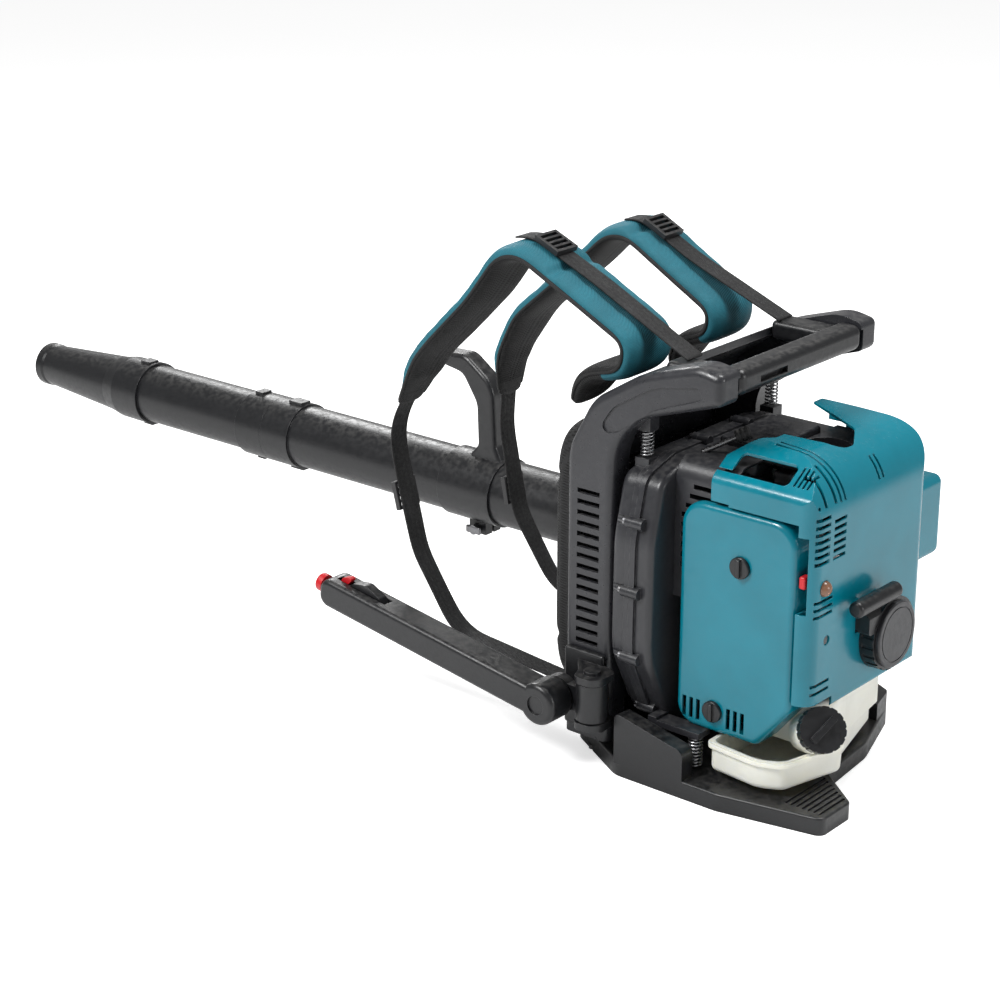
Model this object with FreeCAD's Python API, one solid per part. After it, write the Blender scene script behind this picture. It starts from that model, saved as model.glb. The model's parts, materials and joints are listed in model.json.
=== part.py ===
"""Backpack leaf blower: one STEP file per piece, in millimetres.

The frame is the operator's: +Y forward (the way the tube blows), +X right, +Z up. The origin is
on the floor, under the crankshaft, in the middle plane of the shoulder straps' frame.
"""
import FreeCAD
import Part
import math
import os

V = FreeCAD.Vector
X_AXIS = V(1, 0, 0)
Y_AXIS = V(0, 1, 0)
Z_AXIS = V(0, 0, 1)

# General fits and walls
FIT = 0.3            # gap between pieces that seat on each other
RUN = 0.06           # radial gap of a shaft in its bore
WALL = 2.5           # moulded covers

# Base plate
BASE_T = 20.0
BASE_LEFT = -181.0
BASE_RIGHT = 140.0
BASE_FRONT = 156.0
TAB_BACK = -188.0
TAB_LEFT = -158.0
TAB_RIGHT = -104.0
TAB_ROOT = (-61.0, -133.0)
BASE_CORNER_R = 10.0
TREAD_COUNT = 7
TREAD_PITCH = 7.0
TREAD_W = 3.2
TREAD_D = 2.0
CHEEK_T = 20.0
CHEEK_BACK = -25.0
CHEEK_FRONT = 66.0
CHEEK_LOW = 54.0
CHEEK_TOP = 74.0
RIM_T = 9.0
RIM_H = 20.0

# Back frame
FRAME_LEFT = -158.0
FRAME_RIGHT = 140.0
FRAME_FRONT = 154.0
BEAM_DEPTH = 62.0
BEAM_W = 30.0
FRAME_WALL = 5.0
FRAME_TOP = 474.0
ARCH_BACK = -44.0
ARCH_DEPTH = 46.0
LOUVRE_COUNT = 15
LOUVRE_Z = 131.0
LOUVRE_PITCH = 12.4
LOUVRE_H = 5.6
LOUVRE_L = 30.0
PANEL_SLOT_COUNT = 12

# Carry handle
GRIP_Z = FRAME_TOP - 22.0
GRIP_Y = -31.0
GRIP_FORWARD = 52.0

# Back pad and shoulder straps
PAD_T = 30.0
PAD_LEFT = -148.0
PAD_RIGHT = 130.0
PAD_LOW = 62.0
PAD_TOP = 372.0
PAD_CHANNELS = 4
STRAP_W = 78.0
STRAP_T = 15.0
STRAP_EDGE_R = 5.0
LEFT_STRAP_X = -98.0
RIGHT_STRAP_X = 84.0
WEB_W = 27.0
WEB_T = 2.4
BUCKLE_BACK = 24.0
BUCKLE_DOWN = 80.0

# Crankshaft axis and the fan
CRANK_Z = 172.0
FAN_Z = 198.0
FAN_FLAT = 28.0
FAN_BACK = 30.0
FAN_SPLIT = 57.0
FAN_FRONT = 84.0
FAN_WALL = 3.5
INLET_R = 84.0
IMPELLER_R = 118.0
IMPELLER_BLADES = 12
FAN_EARS = 15
EAR_R = 6.5
EAR_OUT = 2.0
EAR_T = 8.0
EAR_SCREW_R = 2.1

# Outlet and pipes
PIPE_X = 192.0
PIPE_Z = 117.0
PIPE_R = 43.0
PIPE_WALL = 2.4
ELBOW_LEFT = 150.0
SPOUT_END = 122.0
HOSE_END = 296.0
HOSE_RIBS = 22
HOSE_RIB_R = 46.0
HOSE_ROOT_R = 41.5
HOSE_BORE_R = 39.0
SLEEVE_START = 524.0
SLEEVE_END = 610.0
SLEEVE_T = 3.2
COUPLING_SPLIT = 940.0
COUPLING_START = COUPLING_SPLIT - 52.0
COUPLING_END = COUPLING_SPLIT + 50.0
NOZZLE_START = COUPLING_END + 207.0
NOZZLE_SHOULDER = NOZZLE_START + 53.0
NOZZLE_END = NOZZLE_SHOULDER + 187.0
NOZZLE_TIP_R = 32.0
COLLAR_R = 46.0
SPIGOT_L = 40.0

# Crankcase, cylinder and crankshaft
CASE_BACK = -60.0
CASE_W = 88.0
CASE_LOW = 122.0
CASE_TOP = 226.0
CYL_Y = -16.0
CYL_TOP = 318.0
BORE_R = 25.5
FIN_HALF = 38.0
FIN_COUNT = 8
SHAFT_R = 7.5
BEARING_R = 17.5
BEARING_W = 11.0
FLYWHEEL_R = 52.0
WEB_R = 33.0
WEB_DISC_T = 10.0
THROW = 18.5

# Shroud and engine cover
SHROUD_LEFT = -128.0
SHROUD_RIGHT = 85.0
SHROUD_BACK = -44.0
SHROUD_TOP = 360.0
SHROUD_LOW = 205.0
SHROUD_SLOTS = 9
COVER_LEFT = -100.0
COVER_RIGHT = 86.0
COVER_BACK = -150.0
COVER_LOW = 113.0
COVER_TOP = 388.0
COVER_WRAP = -138.0
COVER_LIP_Y = -22.0
COVER_EAVE_Z = 352.0
COVER_CREST_X = -84.0

MUFFLER_PORT_Y = -30.0
MUFFLER_PORT_Z = 268.0
MUFFLER_LEFT = 94.0

# Air cleaner
CLEANER_OUT = -138.0
CLEANER_BACK = -129.0
CLEANER_FRONT = 16.0
CLEANER_LOW = 65.0
CLEANER_TOP = 322.0
CLEANER_CUT_Y = -88.0
CLEANER_CUT_Z = 116.0
CLEANER_STEP_Y = -47.0
CLEANER_STEP_Z = 196.0
CLEANER_EAR_Y = -16.0
SKIRT_X = -129.5
KNOB_R = 12.0
UPPER_KNOB = (-62.0, 262.0)
LOWER_KNOB = (-33.0, 90.0)
CARB_Y = -84.0
CARB_Z = 262.0

CHOKE_X = -86.0
CHOKE_Y = -139.0
CHOKE_T = 8.0
CHOKE_LEN = 45.0
CHOKE_SWEEP = 34.0
PRIMER_X = -114.0
PRIMER_Z = 254.0
PRIMER_R = 8.5

BUTTERFLY_X = -72.0

# Starter
DRUM_R = 41.0
DRUM_BACK = -167.0
DISC_R = 37.0
DISC_T = 5.0
PULLEY_R = 33.0
ROPE_R = 2.0
ROPE_EXIT = (-42.0, -157.0, 213.0)
GRIP_BAR_L = 82.0
GRIP_BAR_R = 9.0
GRIP_STANDOFF = 16.0
GUIDE_W = 24.0
RECOIL_TURNS = 6
RECOIL_PITCH = 2.2
RECOIL_STRIP = 1.0
RECOIL_R = 15.0
PULL_DIR = V(0, -math.sqrt(0.5), math.sqrt(0.5))

# Fuel tank
TANK_LOW = 27.0
TANK_STEP = 61.0
TANK_TOP = 112.7
TANK_LEFT = -152.0
TANK_RIGHT = 72.0
TANK_WALL = 3.0
CAP_R = 25.0
CAP_H = 16.0
CAP_CENTRE = (-113.0, -153.0, 95.0)
CAP_DIR = V(-0.6, -0.65, 0.4663)
NECK_R = 20.0

LINES_X = -80.0
LINES_Y = -118.0
LINE_BEND = 12.0
GROMMET_R = 9.0

# Springs
LOW_SPRING_R = 7.2
LOW_WIRE_R = 1.3
LOW_SPRING_TOP = 58.0
LOW_TURNS = 9
SPRING_Y = -14.0
LEFT_SPRING_X = -141.0
RIGHT_SPRING_X = 118.0
TOP_SPRING_R = 6.5
TOP_WIRE_R = 1.1
TOP_TURNS = 7
TOP_SPRING_LOW = 352.0
TOP_SPRING_HIGH = 382.0
TOP_SPRING_Y = 70.0
TOP_SPRING_X = 126.0

# Control arm
KNUCKLE_X = -187.0
KNUCKLE_Y = 92.0
KNUCKLE_Z = 84.0
KNUCKLE_R = 19.0
KNUCKLE_H = 44.0
NECK_T = 12.0
BOSS_Y = 140.0
BOSS_Z = 76.0
BOSS_R = 24.0
ARM_OUT = -226.0
ARM_W = 38.0
ARM_TIP_Y = 448.0
ARM_TIP_Z = 124.0
ARM_TIP_R = 17.0
ARM_WALL = 3.0
ARM_LEN = math.hypot(ARM_TIP_Y - BOSS_Y, ARM_TIP_Z - BOSS_Z)
LEVER_PIVOT = ARM_LEN - 66.0
LEVER_LEN = 44.0
LEVER_T = 12.0
CRUISE_PIVOT = ARM_LEN - 8.0
SWITCH_R = 8.0
ARM_MID = ARM_OUT + ARM_W / 2


def box(x0, x1, y0, y1, z0, z1):
    return Part.makeBox(x1 - x0, y1 - y0, z1 - z0, V(x0, y0, z0))


def rod(x, y, z, direction, radius, length):
    return Part.makeCylinder(radius, length, V(x, y, z), direction)


def ring(x, y, z, direction, outer, inner, length):
    return rod(x, y, z, direction, outer, length).cut(rod(x, y, z, direction, inner, length))


def fuse(shapes):
    whole = shapes[0]
    if len(shapes) > 1:
        whole = whole.fuse(shapes[1:])
    return whole.removeSplitter()


def rounded_wire(points, radii, place):
    """A closed outline through 2-D points, with an arc of its own radius at each corner."""
    count = len(points)
    stops = []
    for i in range(count):
        corner = V(points[i][0], points[i][1], 0)
        before = V(points[i - 1][0], points[i - 1][1], 0) - corner
        after = V(points[(i + 1) % count][0], points[(i + 1) % count][1], 0) - corner
        before.normalize()
        after.normalize()
        half = before.getAngle(after) / 2
        if radii[i] <= 0 or half > math.pi / 2 - 0.002:
            stops.append((corner, None, corner))
            continue
        reach = radii[i] / math.tan(half)
        inward = before + after
        inward.normalize()
        mid = corner + inward * (radii[i] / math.sin(half) - radii[i])
        stops.append((corner + before * reach, mid, corner + after * reach))
    edges = []
    for i in range(count):
        start, mid, end = stops[i]
        if mid is not None:
            edges.append(Part.Arc(place(start), place(mid), place(end)).toShape())
        following = stops[(i + 1) % count][0]
        if (following - end).Length > 1e-4:
            edges.append(Part.LineSegment(place(end), place(following)).toShape())
    return Part.Wire(edges)


def as_radii(points, radius):
    return list(radius) if isinstance(radius, (list, tuple)) else [radius] * len(points)


def plate_x(points, x0, x1, radius=0.0):
    """Outline in (Y, Z), as thick as x0 to x1."""
    wire = rounded_wire(points, as_radii(points, radius), lambda p: V(x0, p.x, p.y))
    return Part.Face(wire).extrude(V(x1 - x0, 0, 0))


def plate_y(points, y0, y1, radius=0.0):
    """Outline in (X, Z), as thick as y0 to y1."""
    wire = rounded_wire(points, as_radii(points, radius), lambda p: V(p.x, y0, p.y))
    return Part.Face(wire).extrude(V(0, y1 - y0, 0))


def plate_z(points, z0, z1, radius=0.0):
    """Outline in (X, Y), as thick as z0 to z1."""
    wire = rounded_wire(points, as_radii(points, radius), lambda p: V(p.x, p.y, z0))
    return Part.Face(wire).extrude(V(0, 0, z1 - z0))


def block(x0, x1, y0, y1, z0, z1, radius):
    """A box whose twelve edges are rounded."""
    solid = box(x0, x1, y0, y1, z0, z1)
    return solid.makeFillet(radius, solid.Edges)


def rectangle(a0, a1, b0, b1):
    return [(a0, b0), (a1, b0), (a1, b1), (a0, b1)]


def band(points, radii, thickness, x0, x1):
    """A strap as wide as x0 to x1 whose middle follows (Y, Z) points, bent round given radii."""
    count = len(points)
    sides = ([], [])
    side_radii = ([], [])
    for i in range(count):
        here = V(points[i][0], points[i][1], 0)
        into = here - V(points[i - 1][0], points[i - 1][1], 0) if i > 0 else None
        out = V(points[i + 1][0], points[i + 1][1], 0) - here if i < count - 1 else None
        into = into or out
        out = out or into
        into = V(into).normalize()
        out = V(out).normalize()
        normal = V(-into.y - out.y, into.x + out.x, 0).normalize()
        reach = thickness / 2 / normal.dot(V(-into.y, into.x, 0))
        turn = into.x * out.y - into.y * out.x
        for k, sign in enumerate((1, -1)):
            p = here + normal * reach * sign
            sides[k].append((p.x, p.y))
            inner = -sign if turn > 0 else sign
            bent = 0 < i < count - 1
            side_radii[k].append(radii[i] + inner * thickness / 2 if bent else 0.0)
    outline = sides[0] + sides[1][::-1]
    return plate_x(outline, x0, x1, side_radii[0] + side_radii[1][::-1])


def arc_from(start, tangent, end):
    """The arc that leaves start along tangent and reaches end."""
    chord = end - start
    along = V(chord).normalize()
    across = tangent - along * tangent.dot(along)
    if across.Length < 1e-7:
        return Part.LineSegment(start, end).toShape()
    across.normalize()
    lean = tangent.getAngle(along)
    middle = start + chord * 0.5 + across * (chord.Length / 2 * math.tan(lean / 2))
    return Part.Arc(start, middle, end).toShape()


def helix_wire(centre, radius, z0, z1, turns):
    """A helix about +Z as pairs of tangent arcs, a quarter turn each pair."""
    steps = turns * 4
    rise = (z1 - z0) / steps

    def spot(i):
        angle = i * math.pi / 2
        return V(centre.x + radius * math.cos(angle), centre.y + radius * math.sin(angle), z0 + i * rise)

    def heading(i):
        angle = i * math.pi / 2
        slope = rise / (math.pi / 2)
        return V(-radius * math.sin(angle), radius * math.cos(angle), slope).normalize()

    edges = []
    for i in range(steps):
        a, b, ta, tb = spot(i), spot(i + 1), heading(i), heading(i + 1)
        gap = b - a
        spread = 2 * (1 - ta.dot(tb))
        lead = gap.dot(ta + tb)
        reach = (-lead + math.sqrt(lead * lead + spread * gap.dot(gap))) / spread
        join = (a + b + (ta - tb) * reach) * 0.5
        edges.append(arc_from(a, ta, join))
        turned = (b - tb * reach) - join
        edges.append(arc_from(join, turned.normalize(), b))
    return Part.Wire(edges)


def least_turn_gap(points, per_turn):
    """The nearest that points of a coil's line come to points at least half a turn on."""
    least = math.inf
    for i, point in enumerate(points):
        for other in points[i + per_turn // 2:]:
            least = min(least, point.distanceToPoint(other))
    return least


def coil_spring(x, y, radius, wire, z0, z1, turns):
    """A compression spring with flat ends, cut at z0 and z1."""
    path = helix_wire(V(x, y, 0), radius, z0 + wire * 0.4, z1 - wire * 0.4, turns)
    start = path.Vertexes[0].Point
    section = Part.Wire(Part.Circle(start, path.Edges[0].tangentAt(path.Edges[0].FirstParameter), wire).toShape())
    solid = path.makePipeShell([section], True, False)
    print("spring gap", round(least_turn_gap(path.discretize(40 * turns), 40) - 2 * wire, 2))
    keep = box(x - 2 * radius, x + 2 * radius, y - 2 * radius, y + 2 * radius, z0, z1)
    return solid.common(keep)


# Frame side

def base_outline():
    return [(TAB_LEFT, TAB_BACK), (TAB_RIGHT, TAB_BACK), TAB_ROOT, (30.0, -124.0), (124.0, -93.0),
            (BASE_RIGHT, -62.0), (BASE_RIGHT, 132.0), (122.0, BASE_FRONT), (-128.0, BASE_FRONT),
            (-142.0, 132.0), (BASE_LEFT, 64.0), (BASE_LEFT, -70.0)]


BASE_RADII = [BASE_CORNER_R, BASE_CORNER_R, 6.0, 60.0, BASE_CORNER_R, BASE_CORNER_R, 14.0, 14.0,
              14.0, 20.0, 30.0, 40.0]


def base_plate():
    plate = plate_z(base_outline(), 0, BASE_T, BASE_RADII)
    rim = [e for e in plate.Edges if abs(e.BoundBox.ZMin - BASE_T) < 0.01 and e.BoundBox.ZLength < 0.01]
    plate = plate.makeFillet(2.5, rim)
    cheek = plate_x([(CHEEK_BACK, BASE_T - 6), (CHEEK_FRONT, BASE_T - 6), (CHEEK_FRONT, CHEEK_TOP),
                     (CHEEK_BACK, CHEEK_LOW)], BASE_LEFT, BASE_LEFT + CHEEK_T, [0, 0, 6, 9])
    ridge = plate_z([(84.0, -104.0), (124.0, -93.0), (BASE_RIGHT, -62.0), (BASE_RIGHT, 20.0),
                     (BASE_RIGHT - RIM_T, 20.0), (BASE_RIGHT - RIM_T, -58.0), (118.0, -84.0), (84.0, -94.0)],
                    BASE_T - 6, BASE_T + RIM_H, [0, 10, 10, 0, 0, 6, 6, 0])
    ridge = ridge.common(plate_z(base_outline(), 0, BASE_T + RIM_H, BASE_RADII))
    body = fuse([plate, cheek, ridge])
    # Treads across the tab, the shallow well under the tank and the ribs' hollow underneath
    for i in range(TREAD_COUNT):
        y = TAB_BACK + 7.0 + i * TREAD_PITCH
        body = body.cut(box(TAB_LEFT + 8, TAB_RIGHT + 2 + i * 4.5, y, y + TREAD_W, BASE_T - TREAD_D, BASE_T + 1))
    well = plate_z(rectangle(-132.0, 96.0, -84.0, 60.0), BASE_T - 8, BASE_T + 1, 14.0)
    body = body.cut(well)
    for x0, x1 in ((-160.0, -84.0), (-76.0, -4.0), (4.0, 76.0)):
        for y0, y1 in ((-80.0, -6.0), (6.0, 84.0)):
            body = body.cut(plate_z(rectangle(x0, x1, y0, y1), -1, BASE_T - 12, 8.0))
    for x, y in base_screw_places():
        body = body.cut(rod(x, y, -1, Z_AXIS, 3.2, BASE_T + 2))
        body = body.cut(rod(x, y, -1, Z_AXIS, 7.0, 7.0))
    return body


def base_screw_places():
    inset = BEAM_W / 2
    return [(FRAME_LEFT + inset, 122.0), (FRAME_RIGHT - inset, 122.0)]


def arch_outline(inset=0.0):
    """The frame's side view: up the back, over the shoulder and rearwards to the handle."""
    front = FRAME_FRONT - inset
    back = FRAME_FRONT - BEAM_DEPTH + inset
    top = FRAME_TOP - inset
    end = ARCH_BACK + inset
    under = FRAME_TOP - ARCH_DEPTH + inset
    return [(front, BASE_T + inset), (front, 352.0), (front - 32.0, 412.0 - inset * 0.5), (58.0, top - 22.0),
            (-14.0, top), (end, top - 6.0), (end, under + 8.0), (4.0, under - 8.0), (58.0, under - 26.0),
            (back, 366.0), (back, BASE_T + inset)]


ARCH_RADII = [0.0, 60.0, 60.0, 120.0, 50.0, 8.0, 8.0, 60.0, 60.0, 60.0, 0.0]


def back_frame():
    """Hollow side beams, a slotted front panel and a top arch, with the hand opening through it."""
    shell = plate_x(arch_outline(), FRAME_LEFT, FRAME_RIGHT, ARCH_RADII)
    sides = [e for e in shell.Edges if e.BoundBox.XLength < 0.01 and e.BoundBox.ZMin > BASE_T + 1]
    sides = [e for e in sides if e.BoundBox.ZMax > 300 and e.CenterOfMass.y > -30]
    upper = [e for e in sides if e.CenterOfMass.z > 398 or e.CenterOfMass.y > 118]
    shell = shell.makeFillet(9.0, upper)
    left_in = FRAME_LEFT + BEAM_W
    right_in = FRAME_RIGHT - BEAM_W
    front_in = FRAME_FRONT - 7.0
    shell = shell.cut(box(left_in, right_in, -100, front_in, 0, 350))
    shell = shell.cut(plate_x([(front_in, 340), (front_in, 350), (front_in - 33.0, 403.0), (56.0, FRAME_TOP - 30),
                               (-100, FRAME_TOP - 4), (-100, 340)], left_in, right_in))
    # Handle opening and the space for the separate grip bar
    shell = shell.cut(box(left_in + 4, right_in - 4, -100, GRIP_FORWARD, 380, 500))
    # Hollow of each beam, closed at the back by a thin wall
    for x0 in (FRAME_LEFT + FRAME_WALL, right_in + 4):
        x1 = x0 + BEAM_W - FRAME_WALL - 4
        hollow = box(x0, x1, FRAME_FRONT - BEAM_DEPTH + 4, FRAME_FRONT - 6, BASE_T + 14, 344)
        shell = shell.cut(hollow)
        for side in range(LOUVRE_COUNT):
            z = LOUVRE_Z + side * LOUVRE_PITCH
            wall_x = FRAME_LEFT - 1 if x0 < 0 else FRAME_RIGHT - FRAME_WALL - 1
            slot = box(wall_x, wall_x + FRAME_WALL + 3, 108.0, 108.0 + LOUVRE_L, z, z + LOUVRE_H)
            shell = shell.cut(slot)
    # The lens-shaped recess on each side of the arch
    lens = [(FRAME_FRONT - 36.0, 372.0), (92.0, 410.0), (40.0, 441.0), (-16.0, 452.0), (-22.0, 440.0),
            (40.0, 416.0), (84.0, 384.0)]
    for x0 in (FRAME_LEFT - 1, FRAME_RIGHT - 2):
        shell = shell.cut(plate_x(lens, x0, x0 + 3, [8, 40, 60, 5, 5, 60, 30]))
    # Slots of the front panel, where the fan draws its air
    for i in range(PANEL_SLOT_COUNT):
        z = 110.0 + i * 18.0
        shell = shell.cut(box(left_in + 14, right_in - 14, FRAME_FRONT - 9, FRAME_FRONT + 1, z, z + 9))
    for x, y in base_screw_places():
        shell = shell.cut(rod(x, y, BASE_T - 1, Z_AXIS, 2.6, 13))
    # Lugs that hold the upper springs
    for x in (-TOP_SPRING_X, TOP_SPRING_X - 18):
        foot = box(x - 8, x + 8, TOP_SPRING_Y - 9, TOP_SPRING_Y + 9, TOP_SPRING_HIGH, 400)
        shell = shell.fuse(foot)
    return shell.removeSplitter()


def carry_handle():
    """The grip bar across the back of the arch, with ends let into the two side cheeks."""
    left = FRAME_LEFT + BEAM_W + 4
    right = FRAME_RIGHT - BEAM_W - 4
    bar = block(left + FIT, right - FIT, GRIP_Y - 15, GRIP_Y + 15, GRIP_Z - 13, GRIP_Z + 15, 9.0)
    left_end = block(left + FIT, left + 34, GRIP_Y - 10, GRIP_FORWARD - FIT, GRIP_Z - 12, GRIP_Z + 8, 6.0)
    right_end = block(right - 34, right - FIT, GRIP_Y - 10, GRIP_FORWARD - FIT, GRIP_Z - 12, GRIP_Z + 10, 6.0)
    body = fuse([bar, left_end, right_end])
    for i in range(4):
        x = left + 10 + i * 6.5
        body = body.cut(box(x, x + 3, 4, 16, GRIP_Z + 4, GRIP_Z + 20))
    slot = box(left + 34, left + 84, GRIP_Y - 16, GRIP_Y - 9, GRIP_Z - 4, GRIP_Z + 3)
    return body.cut(slot)


def crowned(x0, x1, z0, z1, y0, y1, corner, draw):
    """A cushion: three rounded outlines, the middle one full and the outer two drawn in."""
    wires = []
    for y, inset in ((y0, draw * 0.5), (y0 + (y1 - y0) * 0.45, 0.0), (y1 - 5.0, draw * 0.6), (y1, draw * 1.9)):
        points = rectangle(x0 + inset, x1 - inset, z0 + inset, z1 - inset)
        wires.append(rounded_wire(points, [corner - inset * 0.5] * 4, lambda p, y=y: V(p.x, y, p.y)))
    return Part.makeLoft(wires, True, True)


def back_pad():
    body = crowned(PAD_LEFT, PAD_RIGHT, PAD_LOW, PAD_TOP, FRAME_FRONT + FIT, FRAME_FRONT + PAD_T, 26.0, 7.0)
    pitch = (PAD_TOP - PAD_LOW) / (PAD_CHANNELS + 1)
    for i in range(PAD_CHANNELS):
        z = PAD_LOW + pitch * (i + 1)
        groove = rod(PAD_LEFT - 5, FRAME_FRONT + PAD_T + 2, z, X_AXIS, 8.0, PAD_RIGHT - PAD_LEFT + 10)
        body = body.cut(groove)
    return body


LEFT_STRAP = [(176.0, 384.0), (150.0, 430.0), (98.0, 440.0), (92.0, 474.0), (164.0, 510.0), (258.0, 556.0),
              (312.0, 484.0), (398.0, 398.0), (438.0, 330.0)]
LEFT_BEND = [0, 40, 17, 17, 200, 44, 200, 120, 0]
RIGHT_STRAP = [(178.0, 384.0), (160.0, 426.0), (118.0, 436.0), (112.0, 466.0), (172.0, 500.0), (248.0, 544.0),
               (310.0, 484.0), (394.0, 412.0), (432.0, 350.0), (436.0, 296.0)]
RIGHT_BEND = [0, 40, 16, 16, 200, 44, 200, 100, 90, 0]


def shoulder_pad(points, bend, middle):
    """A padded strap, its long edges drawn in."""
    body = band(points, bend, STRAP_T, middle - STRAP_W / 2, middle + STRAP_W / 2)
    long_edges = [e for e in body.Edges if e.BoundBox.XLength < 0.01]
    return body.makeFillet(STRAP_EDGE_R, long_edges)


def upper_route(points, anchor):
    """From the buckle on the pad's crest back over the pad and down to the frame's arch."""
    lift = STRAP_T / 2 + WEB_T / 2 + FIT
    crest = points[5]
    return [(crest[0] + 6, crest[1] + lift - 9.0), (crest[0] - 16, crest[1] + lift - 5.0),
            (points[4][0] - 8, points[4][1] + lift + 4.0), anchor]


def lower_route(points):
    """From the pad's front end down and back to the foot of the frame."""
    tip = points[-1]
    before = points[-2]
    length = math.hypot(tip[0] - before[0], tip[1] - before[1])
    dy = (tip[0] - before[0]) / length
    dz = (tip[1] - before[1]) / length
    return [(tip[0] + dy * FIT, tip[1] + dz * FIT), (tip[0] + dy * 40, tip[1] + dz * 40), (tip[0] - 18, 150.0),
            (tip[0] - 80, 62.0), (FRAME_FRONT + FIT, 46.0)]


def webbing_band(route, radii, middle):
    return band(route, radii, WEB_T, middle - WEB_W / 2, middle + WEB_W / 2)


def straps():
    """Each strap's points, middle and the place where its upper webbing meets the carrying bar's arm."""
    seat = GRIP_Z + WEB_T / 2 + FIT
    return ((LEFT_STRAP, LEFT_STRAP_X, (31.0, seat + 8.0)), (RIGHT_STRAP, RIGHT_STRAP_X, (40.0, seat + 10.0)))


def strap_webbing():
    shapes = []
    for points, middle, anchor in straps():
        shapes.append(webbing_band(upper_route(points, anchor), [0, 30, 200, 0], middle))
        shapes.append(webbing_band(lower_route(points), [0, 80, 70, 60, 0], middle))
    return Part.makeCompound(shapes)


def ladder_buckle(start, end, along, middle):
    """A ladder-lock, a frame with a bar across, that lies on the webbing's straight run from start to end."""
    lean = math.atan2(end[1] - start[1], end[0] - start[0])
    lift = WEB_T / 2 + FIT
    y = start[0] + along * math.cos(lean) - lift * math.sin(lean)
    z = start[1] + along * math.sin(lean) + lift * math.cos(lean)
    half = WEB_W / 2 + 4
    body = box(-half, half, -17, 17, 0, 6)
    for y0 in (-13.5, -6.0, 1.5, 9.0):
        body = body.cut(box(-half + 4, half - 4, y0, y0 + 4.5, -1, 7))
    body.rotate(V(0, 0, 0), X_AXIS, math.degrees(lean))
    body.translate(V(middle, y, z))
    return body


def strap_buckles():
    made = []
    for points, middle, anchor in straps():
        upper = upper_route(points, anchor)
        lower = lower_route(points)
        run = math.hypot(upper[1][0] - upper[2][0], upper[1][1] - upper[2][1])
        made.append(ladder_buckle(upper[2], upper[1], run - BUCKLE_BACK, middle))
        made.append(ladder_buckle(lower[1], lower[2], BUCKLE_DOWN, middle))
    return Part.makeCompound(made)


def lower_springs():
    made = []
    for x in (LEFT_SPRING_X, RIGHT_SPRING_X):
        made.append(coil_spring(x, SPRING_Y, LOW_SPRING_R, LOW_WIRE_R, BASE_T + FIT, LOW_SPRING_TOP - FIT, LOW_TURNS))
    return Part.makeCompound(made)


def upper_springs():
    made = []
    for x in (-TOP_SPRING_X, TOP_SPRING_X - 18):
        made.append(coil_spring(x, TOP_SPRING_Y, TOP_SPRING_R, TOP_WIRE_R, TOP_SPRING_LOW + FIT,
                                TOP_SPRING_HIGH - FIT, TOP_TURNS))
    return Part.makeCompound(made)


def frame_screws():
    made = []
    for x, y in base_screw_places():
        head = rod(x, y, 0.8, Z_AXIS, 6.0, 5.0)
        shank = rod(x, y, 5.0, Z_AXIS, 2.5, 24.0)
        made.append(head.fuse(shank).removeSplitter())
    return Part.makeCompound(made)


# Control arm

def arm_bracket():
    """The bracket on the frame's foot: a plate and two ears above and below the knuckle."""
    plate = block(FRAME_LEFT - 8, FRAME_LEFT - FIT, KNUCKLE_Y + 2, FRAME_FRONT - 6, 34.0, 126.0, 3.5)
    ears = []
    for z0 in (KNUCKLE_Z - KNUCKLE_H / 2 - 9, KNUCKLE_Z + KNUCKLE_H / 2 + 1):
        ear = plate_z([(FRAME_LEFT - 4, KNUCKLE_Y + 4), (FRAME_LEFT - 4, KNUCKLE_Y + 40),
                       (KNUCKLE_X, KNUCKLE_Y + KNUCKLE_R), (KNUCKLE_X - KNUCKLE_R, KNUCKLE_Y + KNUCKLE_R - 8),
                       (KNUCKLE_X - KNUCKLE_R, KNUCKLE_Y - KNUCKLE_R), (FRAME_LEFT - 12, KNUCKLE_Y - KNUCKLE_R)],
                      z0, z0 + 8, [0, 0, 12, 10, 16, 8])
        ears.append(ear)
    pin = rod(KNUCKLE_X, KNUCKLE_Y, KNUCKLE_Z - KNUCKLE_H / 2 - 9, Z_AXIS, 6.0, KNUCKLE_H + 20)
    head = rod(KNUCKLE_X, KNUCKLE_Y, KNUCKLE_Z + KNUCKLE_H / 2 + 9, Z_AXIS, 9.5, 4.0)
    return fuse([plate, pin, head] + ears)


def arm_knuckle():
    """Turns on the bracket's upright pin and carries the arm on a crosswise bolt."""
    low = KNUCKLE_Z - KNUCKLE_H / 2 + FIT
    drum = rod(KNUCKLE_X, KNUCKLE_Y, low, Z_AXIS, KNUCKLE_R - 1, KNUCKLE_H - 2 * FIT)
    inner = ARM_OUT + ARM_W + FIT
    neck = box(inner, inner + NECK_T, KNUCKLE_Y, BOSS_Y, BOSS_Z - 13, BOSS_Z + 17)
    eye = rod(inner, BOSS_Y, BOSS_Z, X_AXIS, BOSS_R - 2, NECK_T)
    bolt = rod(inner + 1, BOSS_Y, BOSS_Z, V(-1, 0, 0), 7.0, ARM_W - 4)
    solid = fuse([drum, neck, eye, bolt])
    return solid.cut(rod(KNUCKLE_X, KNUCKLE_Y, low - 1, Z_AXIS, 6.0 + RUN, KNUCKLE_H + 2))


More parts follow.
